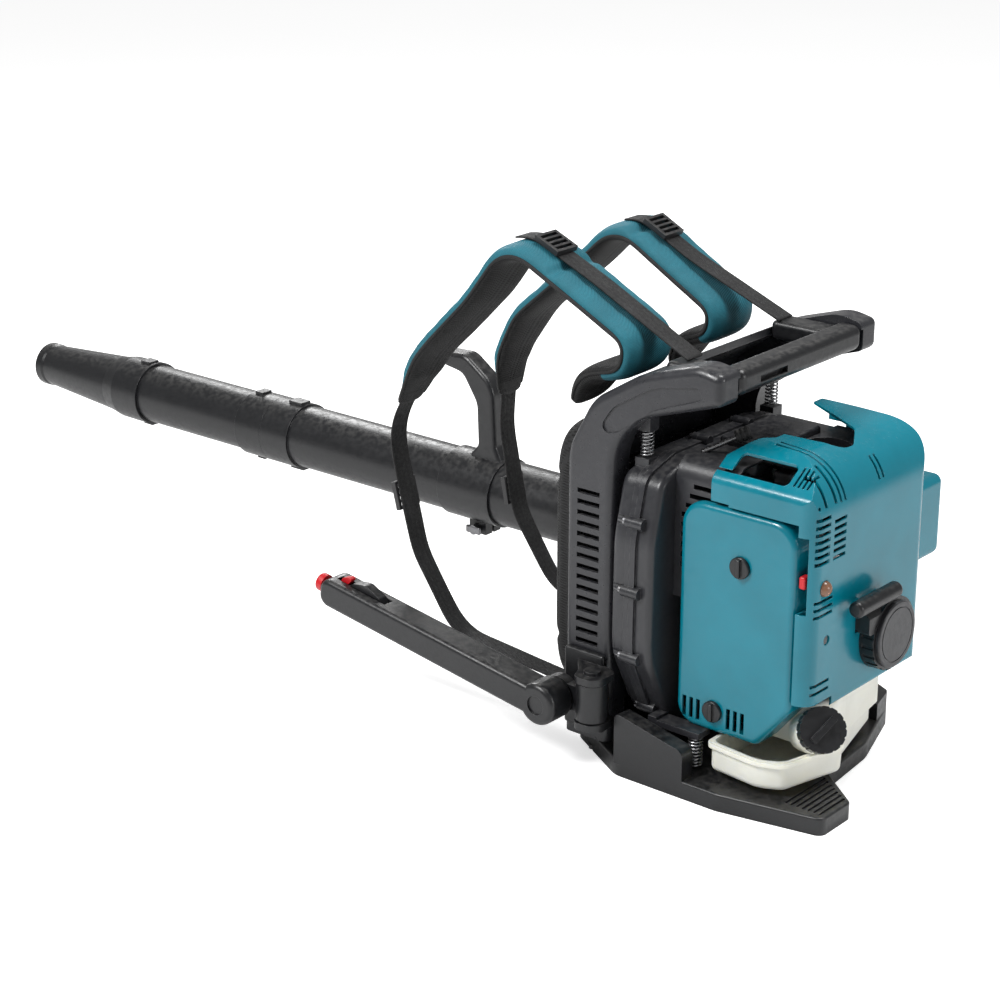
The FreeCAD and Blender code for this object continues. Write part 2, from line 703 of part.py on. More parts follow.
def arm_side():
    """The arm's side view: a big boss, a straight beam and a round tip."""
    dy = ARM_TIP_Y - BOSS_Y
    dz = ARM_TIP_Z - BOSS_Z
    lean = math.atan2(dz, dy)
    up = V(-math.sin(lean), math.cos(lean), 0)
    a = V(BOSS_Y, BOSS_Z, 0)
    b = V(ARM_TIP_Y, ARM_TIP_Z, 0)
    along = V(math.cos(lean), math.sin(lean), 0)
    corners = [a - along * 16 - up * 17, b + along * ARM_TIP_R - up * ARM_TIP_R, b + along * ARM_TIP_R + up * ARM_TIP_R,
               a - along * 16 + up * 17]
    return [(p.x, p.y) for p in corners]


def control_arm():
    body = plate_x(arm_side(), ARM_OUT, ARM_OUT + ARM_W, [10, 14, 14, 10])
    boss = rod(ARM_OUT, BOSS_Y, BOSS_Z, X_AXIS, BOSS_R, ARM_W)
    body = body.fuse(boss).removeSplitter()
    rims = [e for e in body.Edges if e.BoundBox.XLength < 0.01]
    body = body.makeFillet(6.0, rims)
    inner = plate_x(arm_side(), ARM_OUT + ARM_WALL, ARM_OUT + ARM_W - ARM_WALL, [6, 10, 10, 6])
    lean = math.degrees(math.atan2(ARM_TIP_Z - BOSS_Z, ARM_TIP_Y - BOSS_Y))
    slim = box(ARM_OUT + ARM_WALL, ARM_OUT + ARM_W - ARM_WALL, BOSS_R + 8, ARM_TIP_Y - BOSS_Y - 44, -12, 12)
    slim.rotate(V(0, 0, 0), X_AXIS, lean)
    slim.translate(V(0, BOSS_Y, BOSS_Z))
    body = body.cut(inner.common(slim))
    body = body.cut(rod(ARM_OUT + 3, BOSS_Y, BOSS_Z, X_AXIS, 7.0 + RUN, ARM_W))
    body = body.cut(rod(ARM_OUT - 1, BOSS_Y, BOSS_Z, X_AXIS, 11.0, 3.0))
    for shape in (throttle_slot(), cruise_slot(), switch_bore()):
        body = body.cut(shape)
    return body


def arm_frame(shape):
    """Puts a shape built along +Y at the boss's height onto the arm's own line."""
    lean = math.degrees(math.atan2(ARM_TIP_Z - BOSS_Z, ARM_TIP_Y - BOSS_Y))
    shape.rotate(V(0, 0, 0), X_AXIS, lean)
    shape.translate(V(0, BOSS_Y, BOSS_Z))
    return shape


def throttle_slot():
    return arm_frame(box(ARM_MID - LEVER_T / 2 - 1, ARM_MID + LEVER_T / 2 + 1, LEVER_PIVOT - 9, LEVER_PIVOT + LEVER_LEN + 2,
                         -3, 40))


def cruise_slot():
    return arm_frame(box(ARM_MID - 5, ARM_MID + 5, CRUISE_PIVOT - 10, CRUISE_PIVOT + 10, -1, 40))


def switch_bore():
    bore = rod(ARM_MID, ARM_LEN + 4, 0, Y_AXIS, 5.5, 40)
    return arm_frame(bore)


def throttle_lever():
    """The thumb lever on top of the arm, on a cross pin at its rear end."""
    hump = plate_x([(LEVER_PIVOT - 5, 2), (LEVER_PIVOT + 4, 1), (LEVER_PIVOT + LEVER_LEN, 13),
                    (LEVER_PIVOT + LEVER_LEN, 21), (LEVER_PIVOT + 24, 27), (LEVER_PIVOT + 2, 20), (LEVER_PIVOT - 6, 10)],
                   ARM_MID - LEVER_T / 2, ARM_MID + LEVER_T / 2, [2, 4, 2, 5, 16, 8, 3])
    pin = rod(ARM_OUT + 1, LEVER_PIVOT, 6, X_AXIS, 2.5, ARM_W - 2)
    lever = fuse([hump, pin])
    return arm_frame(lever)


def cruise_lever():
    """The small red lever ahead of the thumb lever, which holds the throttle where it is put."""
    blade = plate_x([(CRUISE_PIVOT - 5, 2), (CRUISE_PIVOT + 5, 2), (CRUISE_PIVOT + 4, 20), (CRUISE_PIVOT - 6, 25),
                     (CRUISE_PIVOT - 12, 24), (CRUISE_PIVOT - 5, 14)], ARM_MID - 4, ARM_MID + 4, [3, 3, 5, 3, 2, 4])
    pin = rod(ARM_OUT + 1, CRUISE_PIVOT, 7, X_AXIS, 2.0, ARM_W - 2)
    return arm_frame(fuse([blade, pin]))


def stop_switch():
    """The red push knob on the end of the arm."""
    start = ARM_LEN + ARM_TIP_R
    stem = rod(ARM_MID, start - 9, 0, Y_AXIS, 5.5 - RUN, 14)
    knob = rod(ARM_MID, start + 4.5, 0, Y_AXIS, SWITCH_R + 3, 10)
    knob = knob.makeFillet(3.0, [e for e in knob.Edges if e.BoundBox.YMin > start + 10])
    return arm_frame(fuse([stem, knob]))


def pin_bores():
    """Holes in the arm for the two cross pins."""
    throttle = rod(ARM_OUT + 0.7, LEVER_PIVOT, 6, X_AXIS, 2.5 + RUN, ARM_W - 1.4)
    cruise = rod(ARM_OUT + 0.7, CRUISE_PIVOT, 7, X_AXIS, 2.0 + RUN, ARM_W - 1.4)
    return arm_frame(throttle.fuse(cruise))


# Fan and pipes

def fan_outline():
    """Round housing, flat at the foot, with a square shoulder at the upper left and the outlet at the right."""
    return [(-64.0, FAN_FLAT), (90.0, FAN_FLAT), (ELBOW_LEFT - FIT, 68.0), (ELBOW_LEFT - FIT, 166.0),
            (168.0, 205.0), (150.0, 316.0), (76.0, 352.0), (-100.0, 352.0), (-151.0, 338.0), (-168.0, 270.0),
            (-170.0, 140.0), (-132.0, 62.0)]


FAN_RADII = [30, 20, 8, 10, 40, 80, 60, 30, 22, 90, 80, 50]


def fan_plate(y0, y1, inset=0.0):
    points = fan_outline()
    cx = sum(p[0] for p in points) / len(points)
    cz = FAN_Z
    moved = []
    for x, z in points:
        reach = math.hypot(x - cx, z - cz)
        k = (reach - inset * 1.15) / reach
        moved.append((cx + (x - cx) * k, cz + (z - cz) * k))
    return plate_y(moved, y0, y1, FAN_RADII)


def fan_screw_places():
    """Middles of the ears along the housing's rim, clear of its foot, outlet and upper lugs."""
    rim = rounded_wire(fan_outline(), FAN_RADII, lambda p: V(p.x, 0, p.y))
    spots = []
    for p in rim.discretize(Number=FAN_EARS + 1)[:-1]:
        out = V(p.x, 0, p.z - FAN_Z)
        out.normalize()
        x = p.x + out.x * EAR_OUT
        z = p.z + out.z * EAR_OUT
        by_outlet = x > ELBOW_LEFT - 14 and z < PIPE_Z + PIPE_R + 16
        by_lug = abs(abs(x) - TOP_SPRING_X) < 30 and z > 320
        if z > FAN_FLAT + 12 and not by_outlet and not by_lug:
            spots.append((x, z))
    return spots


def outlet_hole():
    """The way out of the fan housing, through its right-hand wall."""
    return block(ELBOW_LEFT - 40, ELBOW_LEFT + 20, FAN_BACK + 7, FAN_FRONT - 7, 82.0, 152.0, 8.0)


def elbow_face():
    """Trims the housing's flange where the elbow bolts on."""
    return box(ELBOW_LEFT - 0.02, ELBOW_LEFT + 30, FAN_BACK - 1, FAN_FRONT + 1, PIPE_Z - PIPE_R - 4, PIPE_Z + PIPE_R + 3)


def fan_case_rear():
    body = fan_plate(FAN_BACK, FAN_SPLIT)
    corner = [e for e in body.Edges if e.BoundBox.YLength < 0.01 and abs(e.BoundBox.YMin - FAN_BACK) < 0.01]
    body = body.makeFillet(7.0, corner)
    flange = fan_plate(FAN_SPLIT - 7, FAN_SPLIT, -3.0)
    body = body.fuse(flange)
    body = body.cut(fan_plate(FAN_BACK + FAN_WALL, FAN_SPLIT + 1, FAN_WALL))
    body = body.cut(rod(0, FAN_BACK - 1, CRANK_Z, Y_AXIS, 20.0, 10))
    body = body.cut(outlet_hole())
    # Arms that rest on the lower springs and the shoulders under the upper ones
    arms = []
    for x0, x1, s0, s1 in ((-152.0, -96.0, -152.0, -130.0), (78.0, 129.0, 107.0, 129.0)):
        arms.append(box(x0, x1, FAN_BACK + 1, FAN_BACK + 12, LOW_SPRING_TOP, LOW_SPRING_TOP + 10))
        arms.append(box(s0, s1, SPRING_Y - 11, FAN_BACK + 12, LOW_SPRING_TOP, LOW_SPRING_TOP + 7))
    body = body.fuse(arms)
    inner = fan_plate(FAN_BACK + FAN_WALL, FAN_SPLIT + 1, FAN_WALL)
    body = body.cut(inner)
    ears = [rod(x, FAN_SPLIT - EAR_T - 6, z, Y_AXIS, EAR_R, EAR_T + 6) for x, z in fan_screw_places()]
    body = body.fuse(ears).cut(inner)
    for x, z in fan_screw_places():
        body = body.cut(rod(x, FAN_SPLIT - 12, z, Y_AXIS, EAR_SCREW_R, 13))
    return body.cut(elbow_face()).removeSplitter()


def fan_case_front():
    body = fan_plate(FAN_SPLIT + 0.02, FAN_FRONT)
    corner = [e for e in body.Edges if e.BoundBox.YLength < 0.01 and abs(e.BoundBox.YMin - FAN_FRONT) < 0.01]
    body = body.makeFillet(9.0, corner)
    body = body.fuse(fan_plate(FAN_SPLIT + 0.02, FAN_SPLIT + 6, -3.0))
    body = body.cut(fan_plate(FAN_SPLIT - 1, FAN_FRONT - FAN_WALL, FAN_WALL))
    body = body.cut(rod(0, FAN_SPLIT, CRANK_Z, Y_AXIS, INLET_R, 40))
    body = body.cut(outlet_hole())
    # Inlet guard: rings joined by spokes, in the plane of the front wall
    guard = []
    for radius in (24.0, 38.0, 52.0, 66.0, 80.0):
        guard.append(ring(0, FAN_FRONT - 4, CRANK_Z, Y_AXIS, radius + 1.6, radius - 1.6, 4))
    for i in range(8):
        spoke = box(20, INLET_R + 2, FAN_FRONT - 4, FAN_FRONT, -1.6, 1.6)
        spoke.rotate(V(0, 0, 0), Y_AXIS, i * 45)
        spoke.translate(V(0, 0, CRANK_Z))
        guard.append(spoke)
    body = body.fuse(guard)
    inner = fan_plate(FAN_SPLIT - 1, FAN_FRONT - FAN_WALL, FAN_WALL)
    ears = [rod(x, FAN_SPLIT + 0.02, z, Y_AXIS, EAR_R, EAR_T) for x, z in fan_screw_places()]
    for x in (-TOP_SPRING_X, TOP_SPRING_X - 18):
        ears.append(box(x - 9, x + 9, TOP_SPRING_Y - 9, TOP_SPRING_Y + 9, 325, TOP_SPRING_LOW))
    body = body.fuse(ears).cut(inner)
    for x, z in fan_screw_places():
        body = body.cut(rod(x, FAN_SPLIT - 1, z, Y_AXIS, EAR_SCREW_R + FIT, EAR_T + 4))
        body = body.cut(rod(x, FAN_SPLIT + 0.02 + EAR_T, z, Y_AXIS, 5.2, 30))
    return body.cut(elbow_face()).removeSplitter()


def outlet_elbow():
    """Turns the air forward: a rounded box with a spout for the hose."""
    back = FAN_BACK + 2
    front = FAN_FRONT + 8
    body = box(ELBOW_LEFT, PIPE_X + PIPE_R + 2, back, front, PIPE_Z - PIPE_R - 2, PIPE_Z + PIPE_R + 2)
    turn = [e for e in body.Edges if abs(e.BoundBox.XMin - (PIPE_X + PIPE_R + 2)) < 0.01 and
            abs(e.BoundBox.YMin - back) < 0.01 and e.BoundBox.ZLength > 10]
    body = body.makeFillet(40.0, turn)
    spout = rod(PIPE_X, front - 1, PIPE_Z, Y_AXIS, PIPE_R - 4.5, SPOUT_END - front + 1)
    bead = rod(PIPE_X, SPOUT_END - 8, PIPE_Z, Y_AXIS, PIPE_R - 4.5, 4)
    body = fuse([body, spout, bead])
    w = PIPE_WALL + 0.6
    inner = box(ELBOW_LEFT - 1, PIPE_X + PIPE_R + 2 - w, back + w, front - w, PIPE_Z - PIPE_R + 1, PIPE_Z + PIPE_R - 1)
    turn = [e for e in inner.Edges if abs(e.BoundBox.XMin - (PIPE_X + PIPE_R + 2 - w)) < 0.01 and
            abs(e.BoundBox.YMin - (back + w)) < 0.01 and e.BoundBox.ZLength > 10]
    body = body.cut(inner.makeFillet(37.0, turn))
    return body.cut(rod(PIPE_X, front - w - 1, PIPE_Z, Y_AXIS, PIPE_R - 8, 60))


def flexible_pipe():
    """The ribbed hose between the elbow's spout and the swivel pipe."""
    start = FAN_FRONT + 8 + FIT
    cuff = 30.0
    ribs_from = start + cuff
    pitch = (HOSE_END - ribs_from - 14.0) / HOSE_RIBS
    stations = [(start, PIPE_R + 1), (ribs_from, PIPE_R + 1)]
    for i in range(HOSE_RIBS):
        y = ribs_from + i * pitch
        stations.append((y + pitch * 0.15, HOSE_ROOT_R))
        stations.append((y + pitch * 0.35, HOSE_RIB_R))
        stations.append((y + pitch * 0.65, HOSE_RIB_R))
        stations.append((y + pitch * 0.85, HOSE_ROOT_R))
    stations += [(HOSE_END - 13.0, PIPE_R), (HOSE_END, PIPE_R)]
    wires = []
    for y, r in stations:
        circle = Part.Circle(V(PIPE_X, y, PIPE_Z), Y_AXIS, r)
        circle.XAxis = X_AXIS
        wires.append(Part.Wire(circle.toShape()))
    body = Part.makeLoft(wires, True, True)
    return body.cut(rod(PIPE_X, start - 1, PIPE_Z, Y_AXIS, HOSE_BORE_R, HOSE_END - start + 2))


def tube_y(y0, y1, outer, inner):
    return ring(PIPE_X, y0, PIPE_Z, Y_AXIS, outer, inner, y1 - y0)


def lugs(y0, length, radius, count=2):
    """Bayonet lugs standing out of a collar, at the top and the foot."""
    made = []
    for i in range(count):
        lug = box(-9, 9, y0, y0 + length, radius - 2, radius + 3.2)
        lug.rotate(V(0, 0, 0), Y_AXIS, i * 360.0 / count)
        lug.translate(V(PIPE_X, 0, PIPE_Z))
        made.append(lug)
    return made


def swivel_pipe():
    """From the hose to the first coupling, with the bayonet collar at its front end."""
    bore = PIPE_R - PIPE_WALL
    body = tube_y(HOSE_END + FIT, COUPLING_SPLIT, PIPE_R, bore)
    collar = tube_y(COUPLING_START, COUPLING_SPLIT, COLLAR_R, bore)
    bead = tube_y(HOSE_END + FIT, HOSE_END + 16, PIPE_R + 2.2, bore)
    body = fuse([body, collar, bead] + lugs(COUPLING_START + 4, 24, COLLAR_R))
    return body.cut(rod(PIPE_X, HOSE_END, PIPE_Z, Y_AXIS, bore, COUPLING_SPLIT - HOSE_END + 1))


def middle_pipe():
    bore = PIPE_R - PIPE_WALL
    inner = bore - RUN - PIPE_WALL
    spigot = tube_y(COUPLING_SPLIT - SPIGOT_L, COUPLING_SPLIT + FIT, bore - RUN, inner)
    body = tube_y(COUPLING_SPLIT + FIT, NOZZLE_SHOULDER - 12, PIPE_R - 0.8, inner)
    collar = tube_y(COUPLING_SPLIT + FIT, COUPLING_END, COLLAR_R, inner)
    body = fuse([spigot, body, collar] + lugs(COUPLING_END - 22, 14, COLLAR_R))
    return body.cut(rod(PIPE_X, COUPLING_SPLIT - SPIGOT_L - 1, PIPE_Z, Y_AXIS, inner, 400))


def nozzle():
    """A collar over the middle pipe, then a cone that ends in a slightly flared lip."""
    r = COLLAR_R
    w = PIPE_WALL
    tip = NOZZLE_TIP_R
    outer = [(NOZZLE_START, r), (NOZZLE_SHOULDER, r - 0.5), (NOZZLE_SHOULDER + 24, r - 5), (NOZZLE_END - 16, tip - 1.5),
             (NOZZLE_END - 12, tip), (NOZZLE_END, tip)]
    inner = [(NOZZLE_END, tip - w), (NOZZLE_END - 14, tip - 1.5 - w), (NOZZLE_SHOULDER + 24, r - 5 - w),
             (NOZZLE_SHOULDER + 1, PIPE_R - 0.8 + RUN), (NOZZLE_START, PIPE_R - 0.8 + RUN)]
    points = [V(PIPE_X + rad, y, PIPE_Z) for y, rad in outer + inner]
    face = Part.Face(Part.makePolygon(points + [points[0]]))
    body = face.revolve(V(PIPE_X, 0, PIPE_Z), Y_AXIS, 360)
    return fuse([body] + lugs(NOZZLE_START + 6, 18, COLLAR_R - 1))


def pipe_handle():
    """The hand grip: a split sleeve round the pipe with an upright bar that hooks forward."""
    inner = PIPE_R + RUN
    outer = inner + SLEEVE_T
    sleeve = tube_y(SLEEVE_START, SLEEVE_END, outer, inner)
    top = PIPE_Z + outer
    middle_y = SLEEVE_START + 30.0
    bar = plate_x([(middle_y - 26, top - 4), (middle_y + 30, top - 4), (middle_y + 14, top + 14), (middle_y + 16, top + 70),
                   (middle_y + 40, top + 106), (middle_y + 76, top + 112), (middle_y + 78, top + 130),
                   (middle_y + 34, top + 132), (middle_y - 12, top + 100), (middle_y - 16, top + 16)],
                  PIPE_X - 14, PIPE_X + 14, [0, 0, 10, 30, 20, 4, 8, 24, 40, 12])
    edges = [e for e in bar.Edges if e.BoundBox.XLength < 0.01 and e.BoundBox.ZMax > top + 8]
    bar = bar.makeFillet(6.0, edges)
    ears = box(PIPE_X - 15, PIPE_X + 15, SLEEVE_START + 28, SLEEVE_START + 56, PIPE_Z - outer - 15, PIPE_Z - outer + 4)
    body = fuse([sleeve, bar, ears])
    body = body.cut(rod(PIPE_X, SLEEVE_START - 1, PIPE_Z, Y_AXIS, inner, SLEEVE_END - SLEEVE_START + 2))
    body = body.cut(box(PIPE_X - 2, PIPE_X + 2, SLEEVE_START - 1, SLEEVE_END + 1, PIPE_Z - outer - 20, PIPE_Z))
    body = body.cut(rod(PIPE_X - 3, middle_y + 46, top + 119, X_AXIS, 3.0, 40))
    screw_z = PIPE_Z - outer - 8
    return body.cut(rod(PIPE_X - 20, SLEEVE_START + 42, screw_z, X_AXIS, 3.0 + RUN, 40))


def clamp_screw():
    """The wing screw that pinches the split sleeve."""
    z = PIPE_Z - PIPE_R - RUN - SLEEVE_T - 8
    y = SLEEVE_START + 42
    shank = rod(PIPE_X - 24, y, z, X_AXIS, 3.0, 44)
    hub = rod(PIPE_X - 25, y, z, X_AXIS, 6.5, 9.6)
    wing = block(PIPE_X - 26, PIPE_X - 21, y - 12, y + 12, z - 5, z + 5, 2.2)
    nut = rod(PIPE_X + 15.3, y, z, X_AXIS, 6.0, 4.7)
    return fuse([shank, hub, wing, nut])


# Engine

def crankcase():
    half = CASE_W / 2
    body = block(-half, half, CASE_BACK, FAN_BACK - 0.02, CASE_LOW, CASE_TOP, 7.0)
    body = body.fuse(rod(0, FAN_BACK - 8, CRANK_Z, Y_AXIS, 19.5, 7.9))
    sump = block(-half + 8, half - 8, CASE_BACK + 6, FAN_BACK - 8, TANK_TOP + FIT, CASE_LOW + 10, 4.0)
    body = body.fuse(sump)
    mid = CYL_Y
    chamber = WEB_DISC_T * 2 + 14
    body = body.cut(rod(0, mid - chamber / 2, CRANK_Z, Y_AXIS, WEB_R + 4, chamber))
    body = body.cut(rod(0, CASE_BACK - 1, CRANK_Z, Y_AXIS, SHAFT_R + 2, FAN_BACK - CASE_BACK + 2))
    for y in bearing_places():
        body = body.cut(rod(0, y, CRANK_Z, Y_AXIS, BEARING_R, BEARING_W))
    body = body.cut(rod(0, mid, CRANK_Z, Z_AXIS, BORE_R, 80))
    return body.removeSplitter()


def bearing_places():
    half = WEB_DISC_T + 7 + 3.0
    return [CYL_Y - half - BEARING_W, CYL_Y + half]


def crank_bearings():
    made = []
    for y in bearing_places():
        outer = ring(0, y, CRANK_Z, Y_AXIS, BEARING_R, BEARING_R - 3, BEARING_W)
        inner = ring(0, y, CRANK_Z, Y_AXIS, SHAFT_R + 3, SHAFT_R + RUN, BEARING_W)
        shield = ring(0, y + 1, CRANK_Z, Y_AXIS, BEARING_R - 3, SHAFT_R + 3, BEARING_W - 2)
        made.append(fuse([outer, inner, shield]))
    return Part.makeCompound(made)


def crankshaft():
    back = -132.0
    front = FAN_FRONT - 22.0
    mid = CYL_Y
    gap = 7.0
    rear = rod(0, back, CRANK_Z, Y_AXIS, SHAFT_R, mid - gap - back)
    fore = rod(0, mid + gap, CRANK_Z, Y_AXIS, SHAFT_R, front - mid - gap)
    webs = [rod(0, mid - gap - WEB_DISC_T, CRANK_Z, Y_AXIS, WEB_R, WEB_DISC_T),
            rod(0, mid + gap, CRANK_Z, Y_AXIS, WEB_R, WEB_DISC_T)]
    nut = rod(0, front - 6.98, CRANK_Z, Y_AXIS, 11.0, 7)
    cup = rod(0, -143.0, CRANK_Z, Y_AXIS, 14.0, 18.0)
    cup = cup.cut(rod(0, -143.0, CRANK_Z, Y_AXIS, 11.0, 9.0))
    # The two halves are held in line by their bearings: the crank pin belongs to the rod
    return Part.makeCompound([fuse([rear, webs[0], cup]), fuse([fore, webs[1], nut])])


def flywheel():
    """A rimmed disc with cooling vanes, keyed to the shaft behind the crankcase."""
    back = CASE_BACK - 36.0
    body = rod(0, back, CRANK_Z, Y_AXIS, FLYWHEEL_R, 16.0)
    body = body.cut(ring(0, back + 5, CRANK_Z, Y_AXIS, FLYWHEEL_R - 8, 16.0, 20.0))
    body = body.cut(rod(0, back - 1, CRANK_Z, Y_AXIS, SHAFT_R + 0.02, 30))
    for i in range(12):
        vane = box(18, FLYWHEEL_R - 4, back + 4, back + 14, -1.2, 1.2)
        vane.rotate(V(0, 0, 0), Y_AXIS, i * 30)
        vane.translate(V(0, 0, CRANK_Z))
        body = body.fuse(vane)
    return body.removeSplitter()


def impeller():
    """The fan wheel: a back plate with twelve backward-leaning blades and a hub on the shaft."""
    back = FAN_BACK + FAN_WALL + 6.0
    plate = rod(0, back, CRANK_Z, Y_AXIS, IMPELLER_R, 2.5)
    hub = rod(0, back, CRANK_Z, Y_AXIS, 15.0, FAN_FRONT - 29.0 - back)
    body = plate.fuse(hub)
    blades = []
    for i in range(IMPELLER_BLADES):
        blade = plate_y([(58, -1.3), (88, -9.0), (IMPELLER_R - 2, -28.0), (IMPELLER_R - 2, -24.5), (90, -6.0), (58, 1.3)],
                        back + 2, back + 34, [0, 60, 0, 0, 60, 0])
        blade.rotate(V(0, 0, 0), Y_AXIS, i * 360.0 / IMPELLER_BLADES)
        blade.translate(V(0, 0, CRANK_Z))
        blades.append(blade)
    shroud_ring = ring(0, back + 32, CRANK_Z, Y_AXIS, IMPELLER_R, 70.0, 2.0)
    body = body.fuse(blades + [shroud_ring])
    return body.cut(rod(0, back - 1, CRANK_Z, Y_AXIS, SHAFT_R + 0.02, 60)).removeSplitter()


def connecting_rod():
    pin_z = CRANK_Z + THROW
    pin = rod(0, CYL_Y - 7.0 + FIT, pin_z, Y_AXIS, 8.0, 14.0 - 2 * FIT)
    big = rod(0, CYL_Y - 5.5, pin_z, Y_AXIS, 13.0, 11.0)
    small_z = pin_z + 62.0
    small = rod(0, CYL_Y - 5.5, small_z, Y_AXIS, 9.0, 11.0)
    shank = box(-5, 5, CYL_Y - 4, CYL_Y + 4, pin_z, small_z)
    return fuse([pin, big, small, shank]).cut(rod(0, CYL_Y - 10, small_z, Y_AXIS, 5.5 + RUN, 20))


def piston():
    z = CRANK_Z + THROW + 62.0
    r = BORE_R - RUN
    body = rod(0, CYL_Y, z - 16, Z_AXIS, r, 34)
    body = body.cut(rod(0, CYL_Y, z - 17, Z_AXIS, r - 5, 29))
    for i in range(3):
        body = body.cut(ring(0, CYL_Y, z + 6 + i * 4, Z_AXIS, r + 1, r - 1.5, 1.4))
    pin = rod(0, CYL_Y - r + 2, z, Y_AXIS, 5.5, 2 * r - 4)
    return body.fuse(pin).removeSplitter()


def cylinder():
    body = rod(0, CYL_Y, CASE_TOP, Z_AXIS, BORE_R + 6, CYL_TOP - CASE_TOP)
    foot = box(-34, 34, CYL_Y - 34, CYL_Y + 34, CASE_TOP, CASE_TOP + 7)
    fins = []
    pitch = (CYL_TOP - CASE_TOP - 22) / FIN_COUNT
    for i in range(FIN_COUNT):
        z = CASE_TOP + 14 + i * pitch
        fins.append(plate_z(rectangle(-FIN_HALF, FIN_HALF, CYL_Y - FIN_HALF, CYL_Y + FIN_HALF), z, z + 2.4, 9.0))
    head = plate_z(rectangle(-FIN_HALF, FIN_HALF, CYL_Y - FIN_HALF, CYL_Y + FIN_HALF), CYL_TOP - 8, CYL_TOP, 9.0)
    # Inlet neck to the carburettor and outlet neck to the silencer
    inlet = box(-58.0, -24.0, CARB_Y - 10, CARB_Y + 10, CARB_Z - 10, CARB_Z + 10)
    elbow = box(-44.0, -24.0, CARB_Y - 10, CYL_Y - 10, CARB_Z - 10, CARB_Z + 10)
    outlet = rod(20.0, MUFFLER_PORT_Y, MUFFLER_PORT_Z, X_AXIS, 11.0, MUFFLER_LEFT - 20.0 - FIT)
    body = fuse([body, foot, head, inlet, elbow, outlet] + fins)
    body = body.cut(rod(0, CYL_Y, CASE_TOP - 1, Z_AXIS, BORE_R, CYL_TOP - CASE_TOP - 13))
    body = body.cut(rod(-60.0, CARB_Y, CARB_Z, X_AXIS, 7.5, 28))
    body = body.cut(rod(24.0, MUFFLER_PORT_Y, MUFFLER_PORT_Z, X_AXIS, 7.5, 80))
    body = body.cut(rod(0, CYL_Y, CYL_TOP - 16, Z_AXIS, 7.0 + RUN, 20))
    return body


def rocker_cover():
    half = FIN_HALF - 8
    body = block(-half, half, CYL_Y + 12, CYL_Y + 12 + 26, CYL_TOP - 2, CYL_TOP + 30, 6.0)
    body = body.cut(box(-half - 1, half + 1, CYL_Y, CYL_Y + 60, CYL_TOP - 10, CYL_TOP + 0.02))
    side = block(-half, half, CYL_Y - 34, CYL_Y - 10, CYL_TOP - 2, CYL_TOP + 14, 4.0)
    side = side.cut(box(-half - 1, half + 1, CYL_Y - 60, CYL_Y, CYL_TOP - 10, CYL_TOP + 0.02))
    bridge = box(half - 12, half - 4, CYL_Y - 20, CYL_Y + 20, CYL_TOP + 0.02, CYL_TOP + 10)
    return fuse([body, side, bridge])


def spark_plug():
    body = rod(0, CYL_Y, CYL_TOP - 14, Z_AXIS, 7.0, 15)
    hexagon = rod(0, CYL_Y, CYL_TOP + 0.02, Z_AXIS, 8.6, 7)
    insulator = rod(0, CYL_Y, CYL_TOP + 6, Z_AXIS, 4.5, 12)
    return fuse([body, hexagon, insulator])


def plug_cap():
    cap = rod(0, CYL_Y, CYL_TOP + 7 + FIT, Z_AXIS, 8.5, 17)
    cap = cap.fuse(rod(0, CYL_Y, CYL_TOP + 19, V(-1, 0, 0), 5.5, 24))
    return cap.cut(rod(0, CYL_Y, CYL_TOP, Z_AXIS, 4.5 + FIT, 18 + FIT)).removeSplitter()


def engine_shroud():
    """The slotted dark housing between the fan and the engine cover."""
    body = box(SHROUD_LEFT, SHROUD_RIGHT, SHROUD_BACK, FAN_BACK - 0.02, SHROUD_LOW, SHROUD_TOP)
    along = [e for e in body.Edges if e.BoundBox.YLength > 10 and e.BoundBox.ZMin > SHROUD_TOP - 1]
    body = body.makeFillet(24.0, along)
    inner = box(SHROUD_LEFT + WALL, SHROUD_RIGHT - WALL, SHROUD_BACK - 1, FAN_BACK + 1, SHROUD_LOW - 1, SHROUD_TOP - WALL)
    along = [e for e in inner.Edges if e.BoundBox.YLength > 10 and e.BoundBox.ZMin > SHROUD_TOP - WALL - 1]
    body = body.cut(inner.makeFillet(22.0, along))
    pitch = 11.2
    for i in range(SHROUD_SLOTS):
        z = 240.0 + i * pitch
        y0 = -38.0 if i < 7 else -34.0
        y1 = 22.0 - 5.0 * max(0, i - 5)
        body = body.cut(box(SHROUD_LEFT - 1, SHROUD_LEFT + WALL + (22 if i > 7 else 2), y0, y1, z, z + 5.5))
    # Raised boss and recess on the top, where the cover's hook and the stay lie
    top = block(-60.0, 40.0, SHROUD_BACK + 3, FAN_BACK - 6, SHROUD_TOP - 4, SHROUD_TOP + 8, 3.5)
    body = body.fuse(top)
    body = body.cut(box(-59.0, 39.0, SHROUD_BACK + 4, FAN_BACK - 8, SHROUD_TOP - 6, SHROUD_TOP + 4))
    stay = rod(-96.0, FAN_BACK - 10, SHROUD_TOP - 1, V(0.55, -0.72, 0.42), 2.2, 44)
    body = body.fuse(stay)
    body = body.cut(rod(SHROUD_RIGHT - 6, MUFFLER_PORT_Y, MUFFLER_PORT_Z, X_AXIS, 12.5, 12))
    # Deck with a round well under the cover's notch
    deck = plate_z([(-76.0, SHROUD_BACK + 2), (-76.0, -124.0), (36.0, -124.0), (70.0, -60.0), (70.0, SHROUD_BACK + 2)],
                   SHROUD_TOP - WALL, SHROUD_TOP + 1, [0, 18, 30, 20, 0])
    deck = deck.fuse(rod(-4.0, -76.0, SHROUD_TOP - 12, Z_AXIS, 29.0, 16))
    deck = deck.cut(rod(-4.0, -76.0, SHROUD_TOP - 10, Z_AXIS, 26.5, 20))
    body = body.fuse(deck)
    return body.removeSplitter()


